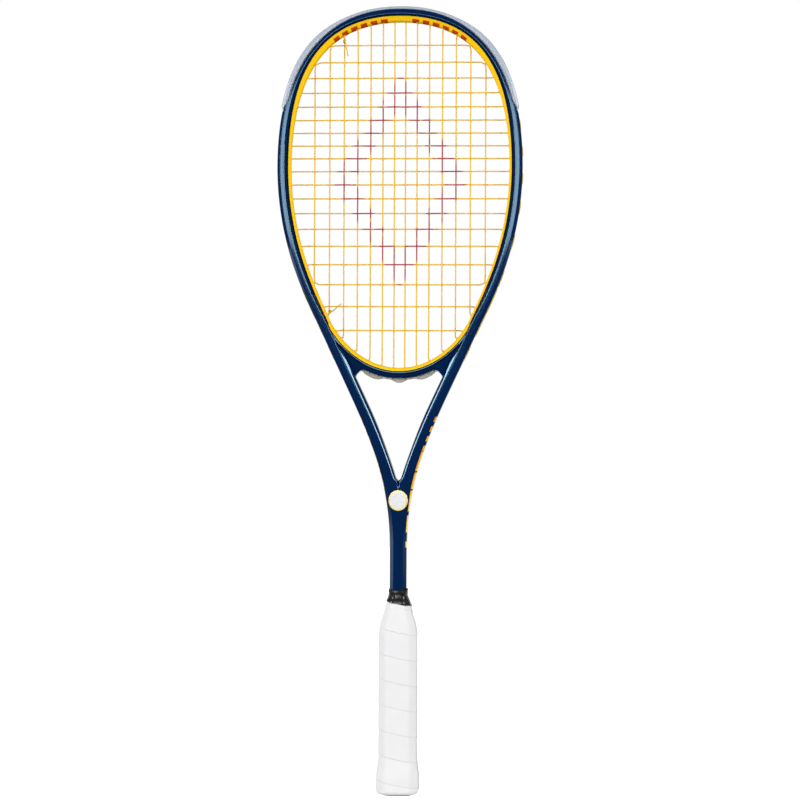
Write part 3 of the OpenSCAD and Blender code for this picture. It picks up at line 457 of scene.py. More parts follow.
block = math(tree, "FRACT", math(tree, "DIVIDE", pz, BLOCK_PITCH))
above_stripe = rise(tree, pz, STRIPE_Z[1], STRIPE_Z[1] + STRIPE_EDGE)
below_top = rise(tree, pz, BLOCK_TOP, BLOCK_TOP - BLOCK_FADE)
block = product(tree, between(tree, block, *BLOCK_SHARE, 0.06), above_stripe, below_top)
narrowing = product(tree, rise(tree, pz, 270.0 * MM, 250.0 * MM), MARK_NARROWING)
set_back = product(tree, rise(tree, px, 0.5 * MM, -0.5 * MM), MARK_SET_BACK)
beside = math(tree, "SUBTRACT", paint_out, math(tree, "ADD", narrowing, set_back))
on_side = rise(tree, beside, PAST_YELLOW + MARK_FROM[0], PAST_YELLOW + MARK_FROM[1])
outer_mark = product(tree, math(tree, "MAXIMUM", stripe, block), on_side)
# A near-black band is painted along the navy just outside the yellow: painted shade that stands in for the
# dark reflection along the tube's inner edge, on the bridge too.
body = blend_colour(tree, product(tree, rise(tree, paint_out, -0.15, -0.32), 0.85), body, PAINTED_SHADE_NAVY)
painted = blend_colour(tree, inner_face, body, inner_colour)
# Below 295 mm the orange marks turn pale yellow towards the tube's outer side: a painted highlight of the
# gloss there, not a second paint colour.
highlight_side = rise(tree, paint_out, PAST_YELLOW + MARK_HIGHLIGHT[0], PAST_YELLOW + MARK_HIGHLIGHT[1])
mark_and_highlight = blend_colour(tree, product(tree, highlight_side, rise(tree, pz, *MARK_HIGHLIGHT_Z)), ORANGE, HIGHLIGHT_YELLOW)
tree.links.new(blend_colour(tree, outer_mark, painted, mark_and_highlight), shader.inputs["Base Color"])
shine(tree, shader, noise(tree, place, 60), 0.07, 0.05)
outer_face = math(tree, "SUBTRACT", 1.0, inner_face)
tree.links.new(product(tree, outer_face, 0.5), shader.inputs["Specular IOR Level"])
tree.links.new(product(tree, outer_face, 0.12), shader.inputs["Coat Weight"])
shader.inputs["Specular Tint"].default_value = BLUE_GLINT
shader.inputs["Coat Roughness"].default_value = 0.04
finish_piece(tube, lacquer, "frame_lacquer", "frame")

# The throat bridge is a short curved tube, bonded between the arms in the mould to close the hoop.
# It widens into a web at each arm and wears the same paint, yellow on the edge that faces the strings.
BRIDGE_Z, BRIDGE_W, BRIDGE_D, BRIDGE_FLARE = 371.0, 9.7, 17.0, 16.0
BRIDGE_END, FLARE_START, FLARE_END, FLARE_POWER = 0.93, 0.31, 0.405, 1.7
BRIDGE_SEAT = ARM_TOP - ARM_W / 2 * spine(2.0)[1][0]
BRIDGE_REACH, BRIDGE_PULL = 30.0, 22.0
BRIDGE = (np.array([0, BRIDGE_Z]), np.array([BRIDGE_REACH, BRIDGE_Z]), BRIDGE_SEAT + BRIDGE_PULL * ARM_DIR,
          BRIDGE_SEAT)
BRIDGE_PAINT, WEB_HOLLOW, CORNER_FILLET, EMBED, PAST_DASHES = 3.0, 0.3, 3.2, 0.7, 500.0


def bridge_edge(v):
    """Places along the bridge's inner edge, and the direction away from the strings there."""
    place, way = bezier(BRIDGE, np.atleast_1d(v))
    return place, np.stack([way[:, 1], -way[:, 0]], 1)


def bridge_width(v):
    """Width of the bridge: even at its middle, then spread more and more steeply into the web by the arm."""
    return BRIDGE_W + BRIDGE_FLARE * ease(FLARE_START, FLARE_END, v) ** FLARE_POWER


def beside_arm(points, depth, fillet):
    """Moves points that would pass through an arm onto a line just inside the arm's inner wall. A fillet
    above zero rounds the corner: the room to the wall is the fillet times the logarithm of one plus e to the
    room over the fillet."""
    t = np.linspace(1.6, 3.4, 1201)
    place, outward = spine(t)
    flat = points.reshape(-1, 2)
    nearest = np.argmin(((flat[:, None, :] - place[None]) ** 2).sum(-1), axis=1)
    u = ((flat - place[nearest]) * outward[nearest]).sum(1)
    wall = EMBED - inner_reach(t[nearest], depth.ravel())
    round_off = np.maximum(fillet.ravel(), 1e-4)
    room = round_off * np.logaddexp(0, (wall - u) / round_off)
    held = place[nearest] + (wall - room)[:, None] * outward[nearest]
    return np.where((u > wall - 5 * round_off)[:, None], held, flat).reshape(points.shape)


def full_turn(steps):
    """Angles of even steps round a full turn."""
    return np.linspace(0, 2 * np.pi, steps, endpoint=False)


def both_sides(half):
    """Rows of the right half with their mirror image before them, the middle row once."""
    return np.concatenate([(half * [-1, 1, 1])[:0:-1], half])


def closed_loft(name, rings, crease=35.0, uv=None):
    """A skin over a row of closed outlines, with a flat face on each end."""
    rows, columns = rings.shape[:2]
    ends = [list(range(columns)), [(rows - 1) * columns + k for k in range(columns)][::-1]]
    return make_piece(name, rings, grid_faces(rows, columns, True).tolist() + ends, uv, crease)


bridge_v = np.r_[np.linspace(0, FLARE_START, 30), np.linspace(FLARE_START, FLARE_END, 24)[1:],
                 np.linspace(FLARE_END, BRIDGE_END, 40)[1:]]
edge_place, edge_out = bridge_edge(bridge_v)
turn = full_turn(64)
bridge_wide = bridge_width(bridge_v)[:, None]
outer_half = np.where(np.cos(turn) > 0, BRIDGE_W / 2, bridge_wide - BRIDGE_W / 2)
bridge_w = BRIDGE_W / 2 - outer_half * soft(np.cos(turn))
web = ease(FLARE_START - 0.04, FLARE_END, bridge_v)[:, None]
web = web * ease(BRIDGE_W * 0.55, BRIDGE_W * 1.15, bridge_w)
bridge_y = BRIDGE_D / 2 * soft(np.sin(turn)) * (1 - WEB_HOLLOW * web)
fillet = CORNER_FILLET * ease(0.45, 0.8, bridge_w / bridge_wide) * ease(0.2, 0.3, bridge_v)[:, None]
bridge_xz = beside_arm(edge_place[:, None] + bridge_w[:, :, None] * edge_out[:, None], bridge_y, fillet)
bridge_half = np.stack([bridge_xz[..., 0], bridge_y, bridge_xz[..., 1]], -1)
bridge_uv = np.stack([0 * bridge_w + PAST_DASHES, 0.1 * (bridge_w - BRIDGE_PAINT) - 0.52], -1)
bridge_uv = np.concatenate([bridge_uv[:0:-1], bridge_uv])
bridge = closed_loft("throat_bridge_tube", both_sides(bridge_half), uv=bridge_uv)
finish_piece(bridge, lacquer, "frame_lacquer", "throat_bridge")

# The bumper guard is a rail of clear pale nylon, injection moulded with its string barrels.
# It clips over the top of the hoop and is held on by the strings that pass through it.
BOND, STRIP_FLOOR = 0.15, 0.9
BUMPER_HALF, BUMPER_SWELL, BUMPER_TAIL, BUMPER_STEP = 8.0, 1.4, 0.75, 0.4
BUMPER_EDGE, BUMPER_FOOT = 1.3, 0.5
BUMPER_COLOUR, BUMPER_PALE = (0.45, 0.51, 0.6, 1), (0.52, 0.58, 0.67, 1)


def on_tube(t, u, y, side=1.0):
    """Points at a distance outwards and a depth from the tube's middle line, on the right or left side."""
    place, outward = spine(t)
    xz = place[:, None] + u[:, :, None] * outward[:, None]
    return np.stack([side * xz[..., 0], np.broadcast_to(y, u.shape), xz[..., 1]], -1)


def soften(rings, cuts, passes):
    """Cuts each side of closed outlines into equal parts and rounds the corners by repeated averaging."""
    share = np.arange(cuts)[None, None, :, None] / cuts
    fine = rings[:, :, None] * (1 - share) + np.roll(rings, -1, 1)[:, :, None] * share
    fine = fine.reshape(len(rings), -1, 3)
    for _ in range(passes):
        fine = 0.5 * fine + 0.25 * (np.roll(fine, 1, 1) + np.roll(fine, -1, 1))
    return fine


def deck(t):
    """Distance outwards of the surface that the strings lie on, over the groove's floor."""
    return groove_floor(t)[1] + BOND + STRIP_FLOOR


def whole_band(u, y):
    """A band's outline from its back half: distances outwards and depths, as they are and then mirrored."""
    return np.hstack([u, u[:, ::-1]]), np.r_[y, -np.asarray(y)[::-1]]


def cloudy_material(name, scale, first, second, least, spread=0.0):
    """A material whose colour drifts from first to second with cloudy noise, and its roughness from the least
    up by the spread. Gives the material, its tree, its shader, the place and the cloud."""
    material, tree, shader = new_material(name)
    place, _ = object_place(tree)
    cloud = noise(tree, place, scale)
    tree.links.new(blend_colour(tree, cloud, first, second), shader.inputs["Base Color"])
    if spread:
        shine(tree, shader, cloud, least, spread)
    else:
        shader.inputs["Roughness"].default_value = least
    return material, tree, shader, place, cloud


bumper_t = np.r_[np.linspace(0, SEAT_START, 150), np.linspace(SEAT_START, BUMPER_END, 40)[1:]]
fade = ease(0.4 * SEAT_START + 0.6 * BUMPER_END, BUMPER_END, bumper_t)
base = groove_floor(bumper_t)[1] + BOND
swell = BUMPER_SWELL * ease(0.2, 0.45, bumper_t) * (1 - 0.5 * ease(0.5, 0.75, bumper_t))
top = (half_width(bumper_t) + BUMPER_PROUD + swell) * (1 - fade) + (base + BUMPER_TAIL) * fade
low = deck(bumper_t) * (1 - fade) + (top - 0.02) * fade
rail = GROOVE_HALF - BOND
bumper_u = np.stack([low, top, top, base + BUMPER_STEP * (top - base), base], 1)
bumper_y = [rail - BOND, rail, BUMPER_HALF - BUMPER_EDGE, BUMPER_HALF, BUMPER_HALF - BUMPER_FOOT]
bumper_rings = both_sides(on_tube(bumper_t, *whole_band(bumper_u, bumper_y)))
bumper = closed_loft("bumper_rail", soften(bumper_rings, 5, 2))
nylon, tree, shader, place, _ = cloudy_material("clear_pale_nylon", 90, BUMPER_COLOUR, BUMPER_PALE, 0.2, 0.2)
shader.inputs["Transmission Weight"].default_value = 0.2
shader.inputs["IOR"].default_value = 1.5
bump(tree, shader, noise(tree, place, 500), 0.02, 0.0002)
finish_piece(bumper, nylon, "bumper_nylon", "bumper_guard")

# The strings' places: main strings run upright and cross strings level, each from mouth to mouth of two
# holes drilled square to the tube. Two strings that come to nearly one place share a wider hole.
STRING_R, LANE, TIE_LANE = 0.6, 0.65, 0.825
MOUTH_OUT, SHARE_GAP, STRAIGHT_ROOM = 1.5, 6.0, 2.6
MAINS, MAIN_STEP, MAIN_SPREAD = 14, 9.45, 0.31
CROSSES, CROSS_MID, CROSS_STEP, CROSS_SPREAD, CROSS_CURVE = 19, 542.0, 11.4, 0.177, 0.0297
main_n = np.arange(MAINS) - (MAINS - 1) / 2
MAIN_X = main_n * (MAIN_STEP + MAIN_SPREAD * np.abs(main_n))
cross_n = np.arange(CROSSES) - (CROSSES - 1) / 2
CROSS_Z = CROSS_MID - cross_n * (CROSS_STEP + cross_n * (CROSS_SPREAD + cross_n * CROSS_CURVE))
rim_t = np.linspace(0, 2, 8001)
rim_place, rim_out = spine(rim_t)
RIM = rim_place - (half_width(rim_t) + MOUTH_OUT)[:, None] * rim_out
edge_v = np.linspace(0, 1, 4001)
EDGE = bridge_edge(edge_v)[0] - MOUTH_OUT * bridge_edge(edge_v)[1]
arm_t = np.linspace(0.8, 3.3, 12001)
arm_place, arm_out = spine(arm_t)


def rim_hole(t):
    """A hole in the hoop at t: where it is, and its mouth's distance outwards."""
    return [False, float(t), float(-half_width(t) - MOUTH_OUT)]


def edge_hole(v):
    """A hole through the bridge, or past its ends through the corner into the arm behind it."""
    if bridge_edge(v)[0][0, 0] < BRIDGE[1][0]:
        return [True, float(v), -MOUTH_OUT]
    p = np.array([np.interp(v, edge_v, EDGE[:, 0]), np.interp(v, edge_v, EDGE[:, 1])])
    k = int(np.argmin(((arm_place - p) ** 2).sum(1)))
    return [False, float(arm_t[k]), float((p - arm_place[k]) @ arm_out[k])]


def shared(hole, others):
    """The middle of two holes that lie closer than the least spacing, or the hole itself."""
    in_hoop = [o for o in others if not hole[0] and not o[0]]
    near = [o for o in in_hoop if abs(run_of(hole[1]) - run_of(o[1])) < SHARE_GAP]
    if not near:
        return hole + [False]
    return [False, (hole[1] + near[0][1]) / 2, (hole[2] + near[0][2]) / 2, True]


upper, lower = rim_t <= 1, rim_t >= 1
half_x = MAIN_X[MAINS // 2:]
tops = [rim_hole(np.interp(x, RIM[upper, 0], rim_t[upper])) for x in half_x]
lows = [rim_hole(np.interp(-x, -RIM[lower, 0], rim_t[lower])) if x > RIM[-1, 0]
        else edge_hole(np.interp(x, EDGE[:, 0], edge_v)) for x in half_x]
ends = [rim_hole(np.interp(-z, -RIM[:, 1], rim_t)) if z > RIM[-1, 1]
        else edge_hole(np.interp(z, EDGE[:, 1], edge_v)) for z in CROSS_Z]
TOP_HOLES = [shared(h, ends) for h in tops]
LOW_HOLES = [shared(h, ends) for h in lows]
END_HOLES = [shared(h, tops + lows) for h in ends]
TIE_RANK, KNOT_RANK = MAINS // 2 - 3, MAINS // 2 - 2


def at_hole(hole, side, outwards, y):
    """A point on a hole's line, at a distance outwards and a depth."""
    if hole[0]:
        place, out = bridge_edge(hole[1])
    else:
        place, out = spine(hole[1])
    p = place[0] + outwards * out[0]
    return np.array([side * p[0], y, p[1]])


def mouth_of(hole, side, y):
    """The point in a hole's mouth, where its string comes out towards the string bed."""
    return at_hole(hole, side, hole[2], y)


def hole_deck(hole, p):
    """Distance outwards of the deck at places p along the hoop or the bridge."""
    return bridge_width(p) + BOND + STRIP_FLOOR if hole[0] else deck(p)


def deck_at(hole):
    """Distance outwards of the deck at the hole itself."""
    return float(np.ravel(hole_deck(hole, np.array([hole[1]])))[0])


# The grommet strips are thin nylon bands with a barrel at each hole, which keep the string off the carbon.
# Two lie in the hoop's side grooves, and one with scalloped rails covers the loops under the bridge.
BARREL_LIP, BARREL_WALL, BARREL_ROOT = 0.35, 0.45, 1.6
NARROW_BORE, WIDE_BORE, BARREL_ROUND = 1.0, 1.55, 0.12
STRIP_COLOUR, STRIP_PALE, GROMMET_YELLOW = (0.34, 0.33, 0.28, 1), (0.42, 0.41, 0.36, 1), (0.86, 0.5, 0.05, 1)
STRIP_GAP, STRIP_END = 0.006, 0.335
SCALLOP_H, SCALLOP_HALF, SCALLOP_OUT = 2.4, 6.5, (6.5, 13.0)
strip_t = np.linspace(BUMPER_END + STRIP_GAP, GROOVE_END - STRIP_GAP, 200)
strip_base = groove_floor(strip_t)[1] + BOND
strip_u, strip_y = whole_band(np.stack([strip_base + STRIP_FLOOR, strip_base], 1), [GROOVE_HALF - BOND] * 2)


def barrel(hole, side, y, radius):
    """Rings of one round barrel: outside from its root to the mouth, over the rounded lip, down the bore, and
    back."""
    mouth = at_hole(hole, side, hole[2] + MOUTH_OUT - BARREL_LIP, y)
    foot = at_hole(hole, side, deck_at(hole) - BARREL_ROOT, y)
    axis = (mouth - foot) / np.linalg.norm(mouth - foot)
    cross = np.cross(axis, [0, 1, 0])
    q = full_turn(20)[None, :, None]
    outer = radius + BARREL_WALL
    lip = [outer - BARREL_ROUND, radius + BARREL_ROUND]
    r = np.array([outer, outer, *lip, radius, radius, outer])[:, None, None]
    back = np.array([0, 0.14, 0.02, 0.02, 0.14, 3.0, 0])[:, None, None]
    stem = np.linalg.norm(mouth - foot) * np.array([1, 0, 0, 0, 0, 0, 1])[:, None, None]
    return mouth - axis * (back + stem) + r * (np.cos(q) * cross + np.sin(q) * np.array([0, 1.0, 0]))


def barrel_row(name, holes):
    """All the barrels of one moulding as one piece: a list of hole, side, depth and bore radius."""
    rings = np.array([barrel(*h) for h in holes])
    faces = grid_faces(rings.shape[1], rings.shape[2], True)
    step = rings.shape[1] * rings.shape[2]
    return make_piece(name, rings, np.concatenate([faces + k * step for k in range(len(rings))]).tolist())


def bores_of(side):
    """Every hole of one side with its depth and bore: mains to the front, crosses to the back, and shared
    ones wide."""
    rows = []
    for holes, ties in ((TOP_HOLES, (TIE_RANK, TIE_RANK + 1)), (LOW_HOLES, (KNOT_RANK,))):
        for rank, h in enumerate(holes):
            wide = h[3] or rank in ties
            rows.append((h, side, 0.0 if wide else -LANE, WIDE_BORE if wide else NARROW_BORE))
    return rows + [(h, side, LANE, NARROW_BORE) for h in END_HOLES if not h[3]]


moulded, tree, shader, place, _ = cloudy_material("satin_nylon", 120, STRIP_COLOUR, STRIP_PALE, 0.35, 0.15)
bump(tree, shader, noise(tree, place, 900), 0.08, 0.0002)
barrel_nylon = cloudy_material("yellow_nylon", 400, GROMMET_YELLOW, YELLOW, 0.35)[0]
all_bores = bores_of(-1.0) + bores_of(1.0)
for side, node in ((-1.0, "left_grommet_strip"), (1.0, "right_grommet_strip")):
    strip = closed_loft(node + "_band", soften(on_tube(strip_t, strip_u, strip_y, side), 4, 1))
    finish_piece(strip, moulded, "grommet_nylon", node)
hoop_barrels = barrel_row("grommet_barrels", [b for b in all_bores if not b[0][0]])
finish_piece(hoop_barrels, barrel_nylon, "grommet_nylon")
bridge_barrels = barrel_row("bridge_grommet_barrels", [b for b in all_bores if b[0][0]])
finish_piece(bridge_barrels, barrel_nylon, "grommet_nylon")

throat_v = np.linspace(-STRIP_END, STRIP_END, 121)
throat_place, throat_out = bridge_edge(np.abs(throat_v))
loops = np.array([0.0, 0.75 * half_x[1] + 0.25 * half_x[2]])
past = throat_place[:, :1] - loops
past = np.abs(past) / np.where(past > 0, SCALLOP_OUT, SCALLOP_HALF)
humps = np.cos(np.pi / 2 * np.minimum(1, past)).max(1) ** 1.3
throat_base = bridge_width(np.abs(throat_v)) + BOND
throat_low = throat_base + STRIP_FLOOR
humps = humps * (1 - ease(STRIP_END - 0.03, STRIP_END, np.abs(throat_v)))
throat_top = throat_low + SCALLOP_H * humps + 0.02
throat_w = np.stack([throat_low, throat_top, throat_top, throat_base], 1)
throat_w, throat_y = whole_band(throat_w, [1.7, 1.85, 2.65, 2.8])
throat_xz = throat_place[:, None] + throat_w[:, :, None] * throat_out[:, None]
throat_x = np.where(throat_v < 0, -1, 1)[:, None] * throat_xz[..., 0]
throat_rings = np.stack([throat_x, np.broadcast_to(throat_y, throat_x.shape), throat_xz[..., 1]], -1)
throat_strip = closed_loft("throat_strip_band", soften(throat_rings, 4, 1))
finish_piece(throat_strip, moulded, "grommet_nylon", "throat_grommet_strip")

# The stringing is one length of nylon gut, woven over and under and pulled tight from hole to hole.
# It starts and ends in a hitch round a main string, with a short tail cut off at each.
EDGE_ROOM, TURN, LIFT = 4.0, 1.0, STRING_R + 0.1
TAIL_LEN, TAIL_FRONT, TIE_BULGE = 15.0, -2.3, 0.4
HITCH_R, HITCH_TURNS, HITCH_RISE, STRING_SIDES = 1.3, 2.6, 3.2, 8
TIE_HITCH, KNOT_HITCH = (0.0, 0.1, -3.4), (0.4, -0.1, 2.2)
TIE_TAIL = ((3.2, TAIL_FRONT, -TAIL_LEN - 2), (1.3, TAIL_FRONT, -6.5))
KNOT_TAIL = ((2.8, TAIL_FRONT, 2.4), (0.7 * TAIL_LEN, TAIL_FRONT, 0.63 * TAIL_LEN))


def rank_of(i):
    """Place of main string i in its half's list of holes, counted from the middle, and its side."""
    return (MAINS // 2 - 1 - i, -1.0) if i < MAINS // 2 else (i - MAINS // 2, 1.0)


def loop(a, side_a, ya, b, side_b, yb, bulge=0.0):
    """The run outside the tube from hole a to hole b: out, along the deck, and back in."""
    first, last = side_a * a[1], side_b * b[1]
    step = TURN / 60 if a[0] else TURN / 140
    way = np.sign(last - first)
    p = np.linspace(first + way * step, last - way * step, 17)
    f = np.linspace(0, 1, 17)
    place, out = bridge_edge(np.abs(p)) if a[0] else spine(np.abs(p))
    xz = place + (hole_deck(a, np.abs(p)) + LIFT)[:, None] * out
    y = ya + (yb - ya) * f - bulge * np.sin(np.pi * f)
    run = np.stack([np.where(p < 0, -1, 1) * xz[:, 0], y, xz[:, 1]], 1)
    rim_a = at_hole(a, side_a, deck_at(a) + LIFT - TURN, ya)
    rim_b = at_hole(b, side_b, deck_at(b) + LIFT - TURN, yb)
    return np.vstack([rim_a, run, rim_b])


def top_lane(i):
    """Depth of main string i in its top hole: the two beside the first hitch keep to the back."""
    return TIE_LANE if i in (1, 2) else -LANE


def straighten(run, along, across, line):
    """Adds a point near each end of a run, on the string's own line, so that it bends only close to its
    hole."""
    near = run[[0, -1]].copy()
    gap = run[[1, -2], along] - near[:, along]
    near[:, along] += np.sign(gap) * np.minimum(STRAIGHT_ROOM, 0.6 * np.abs(gap))
    near[:, across] = line
    return np.vstack([run[:1], near[:1], run[1:-1], near[1:], run[-1:]])


def main_run(i):
    """Main string i from its top mouth to its low mouth, passing the cross strings by turns."""
    rank, side = rank_of(i)
    first = mouth_of(TOP_HOLES[rank], side, top_lane(i))
    last = mouth_of(LOW_HOLES[rank], side, -LANE)
    k = np.flatnonzero((CROSS_Z < first[2] - EDGE_ROOM) & (CROSS_Z > last[2] + EDGE_ROOM))
    woven = np.stack([np.full(len(k), MAIN_X[i]), np.where((i + k) % 2 == 0, LANE, -LANE), CROSS_Z[k]], 1)
    run = straighten(np.vstack([first, woven, last]), 2, 0, MAIN_X[i])
    return run if i % 2 == 0 else run[::-1]


def cross_run(k):
    """Cross string k from side to side, passing the main strings by turns."""
    first, last = (mouth_of(END_HOLES[k], s, LANE) for s in (-1.0, 1.0))
    met = []
    for i in range(MAINS):
        rank, side = rank_of(i)
        high = mouth_of(TOP_HOLES[rank], side, 0)[2]
        foot = mouth_of(LOW_HOLES[rank], side, 0)[2]
        met.append(foot + EDGE_ROOM < CROSS_Z[k] < high - EDGE_ROOM)
    i = np.flatnonzero(met)
    woven = np.stack([MAIN_X[i], np.where((i + k) % 2 == 0, -LANE, LANE), np.full(len(i), CROSS_Z[k])], 1)
    run = straighten(np.vstack([first, woven, last]), 0, 2, CROSS_Z[k])
    return run[::-1] if k % 2 == 0 else run


def hitch(middle, start_angle):
    """Turns of string round an upright main string, from the lowest up."""
    q = np.linspace(0, 2 * np.pi * HITCH_TURNS, 40)
    lift = np.linspace(-0.5, 0.5, 40) * HITCH_RISE
    return middle + np.stack([HITCH_R * np.cos(q + start_angle), HITCH_R * np.sin(q + start_angle), lift], 1)


def smooth_path(points, spacing=0.8, passes=4):
    """Evenly spaced points along a path, with its corners rounded as a pulled string rounds them."""
    run = np.r_[0, np.cumsum(np.linalg.norm(np.diff(points, axis=0), axis=1))]
    s = np.linspace(0, run[-1], int(run[-1] / spacing) + 2)
    path = np.stack([np.interp(s, run, points[:, k]) for k in range(3)], 1)
    for _ in range(passes):
        path[1:-1] = 0.5 * path[1:-1] + 0.25 * (path[:-2] + path[2:])
    return path


def string_piece(name, points):
    """A round string along a smooth path: rings square to it, closed by a flat cut at each end."""
    path = smooth_path(points)
    way = np.gradient(path, axis=0)
    way /= np.linalg.norm(way, axis=1, keepdims=True)
    e1 = np.array([0, 1.0, 0]) - way[:, 1:2] * way
    small = np.linalg.norm(e1, axis=1) < 0.2
    e1[small] = np.array([1.0, 0, 0]) - way[small, :1] * way[small]
    e1 /= np.linalg.norm(e1, axis=1, keepdims=True)
    e2 = np.cross(way, e1)
    q = full_turn(STRING_SIDES)[None, :, None]
    rings = path[:, None] + STRING_R * (np.cos(q) * e1[:, None] + np.sin(q) * e2[:, None])
    return closed_loft(name, rings, 60.0)


tie_hole, knot_hole = TOP_HOLES[TIE_RANK], LOW_HOLES[KNOT_RANK]
tie_mouth = mouth_of(tie_hole, -1.0, -TIE_LANE)
knot_mouth = mouth_of(knot_hole, -1.0, LANE)
tie_place, knot_place = tie_mouth * [1, 0, 1], knot_mouth * [1, 0, 1]
outer = MAINS // 2 - 1
join = loop(TOP_HOLES[outer], 1.0, -LANE, END_HOLES[0], 1.0, LANE)
half_join = len(join) // 2
main_path = [tie_place + TIE_TAIL, hitch(tie_place + TIE_HITCH, -np.pi / 2), tie_mouth[None],
             loop(tie_hole, -1.0, -TIE_LANE, TOP_HOLES[outer], -1.0, -LANE, TIE_BULGE)]
for i in range(MAINS):
    main_path.append(main_run(i))
    if i < MAINS - 1:
        (rank, side), (next_rank, next_side) = rank_of(i), rank_of(i + 1)
        holes = LOW_HOLES if i % 2 == 0 else TOP_HOLES
        depths = (-LANE, -LANE) if i % 2 == 0 else (top_lane(i), top_lane(i + 1))
        main_path.append(loop(holes[rank], side, depths[0], holes[next_rank], next_side, depths[1]))
main_path.append(join[:half_join + 1])
cross_path = [join[half_join:]]
for k in range(CROSSES):
    cross_path.append(cross_run(k))
    if k < CROSSES - 1:
        side = -1.0 if k % 2 == 0 else 1.0
        cross_path.append(loop(END_HOLES[k], side, LANE, END_HOLES[k + 1], side, LANE))
cross_path += [loop(END_HOLES[-1], -1.0, LANE, knot_hole, -1.0, LANE), knot_mouth[None],
               hitch(knot_place + KNOT_HITCH, np.pi / 2), knot_place + KNOT_TAIL]
main_string = string_piece("main_string_gut", np.vstack(main_path))
cross_string = string_piece("cross_string_gut", np.vstack(cross_path))

STRING_AMBER, STRING_PALE, STENCIL_RED = (0.74, 0.43, 0.006, 1), (0.83, 0.55, 0.015, 1), (0.4, 0.03, 0.05, 1)
STENCIL_Z, STENCIL_HALF_W, STENCIL_HALF_H = 534.0 * MM, 60.0 * MM, 94.0 * MM
gut, tree, shader = new_material("amber_gut")
place, (px, _, pz) = object_place(tree)
fleck = noise(tree, place, 260, 2.0)
body = blend_colour(tree, fleck, STRING_AMBER, STRING_PALE)
across = math(tree, "DIVIDE", math(tree, "ABSOLUTE", px), STENCIL_HALF_W)
upright = math(tree, "ABSOLUTE", math(tree, "SUBTRACT", pz, STENCIL_Z))
rhomb = math(tree, "ADD", across, math(tree, "DIVIDE", upright, STENCIL_HALF_H))
stencil = product(tree, rise(tree, rhomb, 0.66, 0.7), rise(tree, rhomb, 1.03, 0.97))
worn = product(tree, stencil, rise(tree, noise(tree, place, 180), 0.2, 0.5))
tree.links.new(blend_colour(tree, worn, body, STENCIL_RED), shader.inputs["Base Color"])
shine(tree, shader, fleck, 0.25, 0.2)
shader.inputs["Specular IOR Level"].default_value = 0.25
shader.inputs["Subsurface Weight"].default_value = 0.15
shader.inputs["Subsurface Radius"].default_value = (0.0006, 0.0003, 0.0001)
finish_piece(main_string, gut, "string_nylon", "main_string")
finish_piece(cross_string, gut, "string_nylon", "cross_string")

# The butt cap is a moulded black plastic cup, pushed over the pallet's end and stapled.
# Only its bevelled rim shows, below the first turn of the grip.
PALLET_W, PALLET_D, PALLET_BEVEL = 29.6, 26.4, 4.8
TAPER_Z, PALLET_TOP = 138.0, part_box("handle_pallet")[1].z / MM
PALLET_LIP, TOP_BEVEL = 1.4, 4.2
CAP_WALL, CAP_H, CAP_RIM = 1.9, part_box("butt_cap")[1].z / MM, 4.0
SKIRT_BELOW, SKIRT_ABOVE, CORNER_POWER = 11.0, 9.0, 26.0
CAP_BLACK, CAP_GREY = (0.006, 0.006, 0.006, 1), (0.014, 0.014, 0.015, 1)


def handle_size(z):
    """Half width, half depth and bevel of the octagonal handle at height z, narrowing to the shaft at its
    top."""
    f = ease(TAPER_Z, PALLET_TOP, z)
    return (PALLET_W / 2 + (SHAFT_W / 2 + PALLET_LIP - PALLET_W / 2) * f,
            PALLET_D / 2 + (SHAFT_D / 2 + PALLET_LIP - PALLET_D / 2) * f,
            PALLET_BEVEL + (TOP_BEVEL - PALLET_BEVEL) * f)


def flare(z):
    """How far the cap's skirt swells the handle near the butt."""
    return CAP_WALL * (1 - ease(CAP_H - SKIRT_BELOW, CAP_H + SKIRT_ABOVE, z))


def octagon(angle, z, grow):
    """Points round a soft-cornered octagon: the radius is a high-power mean of its eight faces' distances."""
    hx, hy, b = handle_size(z)
    hx, hy = hx + grow, hy + grow
    b = b + grow * (2 - np.sqrt(2))
    reach = [(0, hx), (45, (hx + hy - b) / np.sqrt(2)), (90, hy), (135, (hx + hy - b) / np.sqrt(2))]
    total = sum(np.abs(np.cos(angle - np.radians(d)) / r) ** CORNER_POWER for d, r in reach)
    radius = total ** (-1 / CORNER_POWER)
    return np.stack([radius * np.cos(angle), radius * np.sin(angle), np.broadcast_to(z, radius.shape)], -1)


rim_z, rim_in = [0.5, 1.2, 2.2, 3.2, CAP_RIM], [-2.9, -2.0, -1.0, -0.3, 0.0]
cap_z = np.r_[0, 0, 0.15, rim_z, 8, CAP_H][:, None]
cap_in = np.r_[-14, -4.1, -3.5, rim_in, 0.0, -0.1][:, None]
round_angle = full_turn(96)[None]
cap = closed_loft("butt_cap_cup", octagon(round_angle, cap_z, CAP_WALL + cap_in), 50.0)
plastic, tree, shader, _, grain = cloudy_material("black_satin_plastic", 900, CAP_BLACK, CAP_GREY, 0.38, 0.2)
bump(tree, shader, grain, 0.15, 0.0002)
finish_piece(cap, plastic, "cap_plastic", "butt_cap")

# The pallet is the rigid foam moulding round the shaft, and two wire staples hold the cap on it.
# Both are hidden under the grip, so they keep their CAD shapes.
FOAM_TAN, FOAM_PALE, WIRE_GREY = (0.26, 0.23, 0.16, 1), (0.32, 0.29, 0.22, 1), (0.6, 0.6, 0.62, 1)
foam, tree, shader, _, cells = cloudy_material("tan_foam", 1400, FOAM_TAN, FOAM_PALE, 0.8)
bump(tree, shader, cells, 0.3, 0.0003)
wire, tree, shader = new_material("bright_wire")
place, _ = object_place(tree)
shine(tree, shader, noise(tree, place, 3000), 0.2, 0.2)
shader.inputs["Base Color"].default_value = WIRE_GREY
shader.inputs["Metallic"].default_value = 1.0
for node, material in (("handle_pallet", foam), ("left_staple", wire), ("right_staple", wire)):
    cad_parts[node].data.materials.clear()
    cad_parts[node].data.materials.append(material)

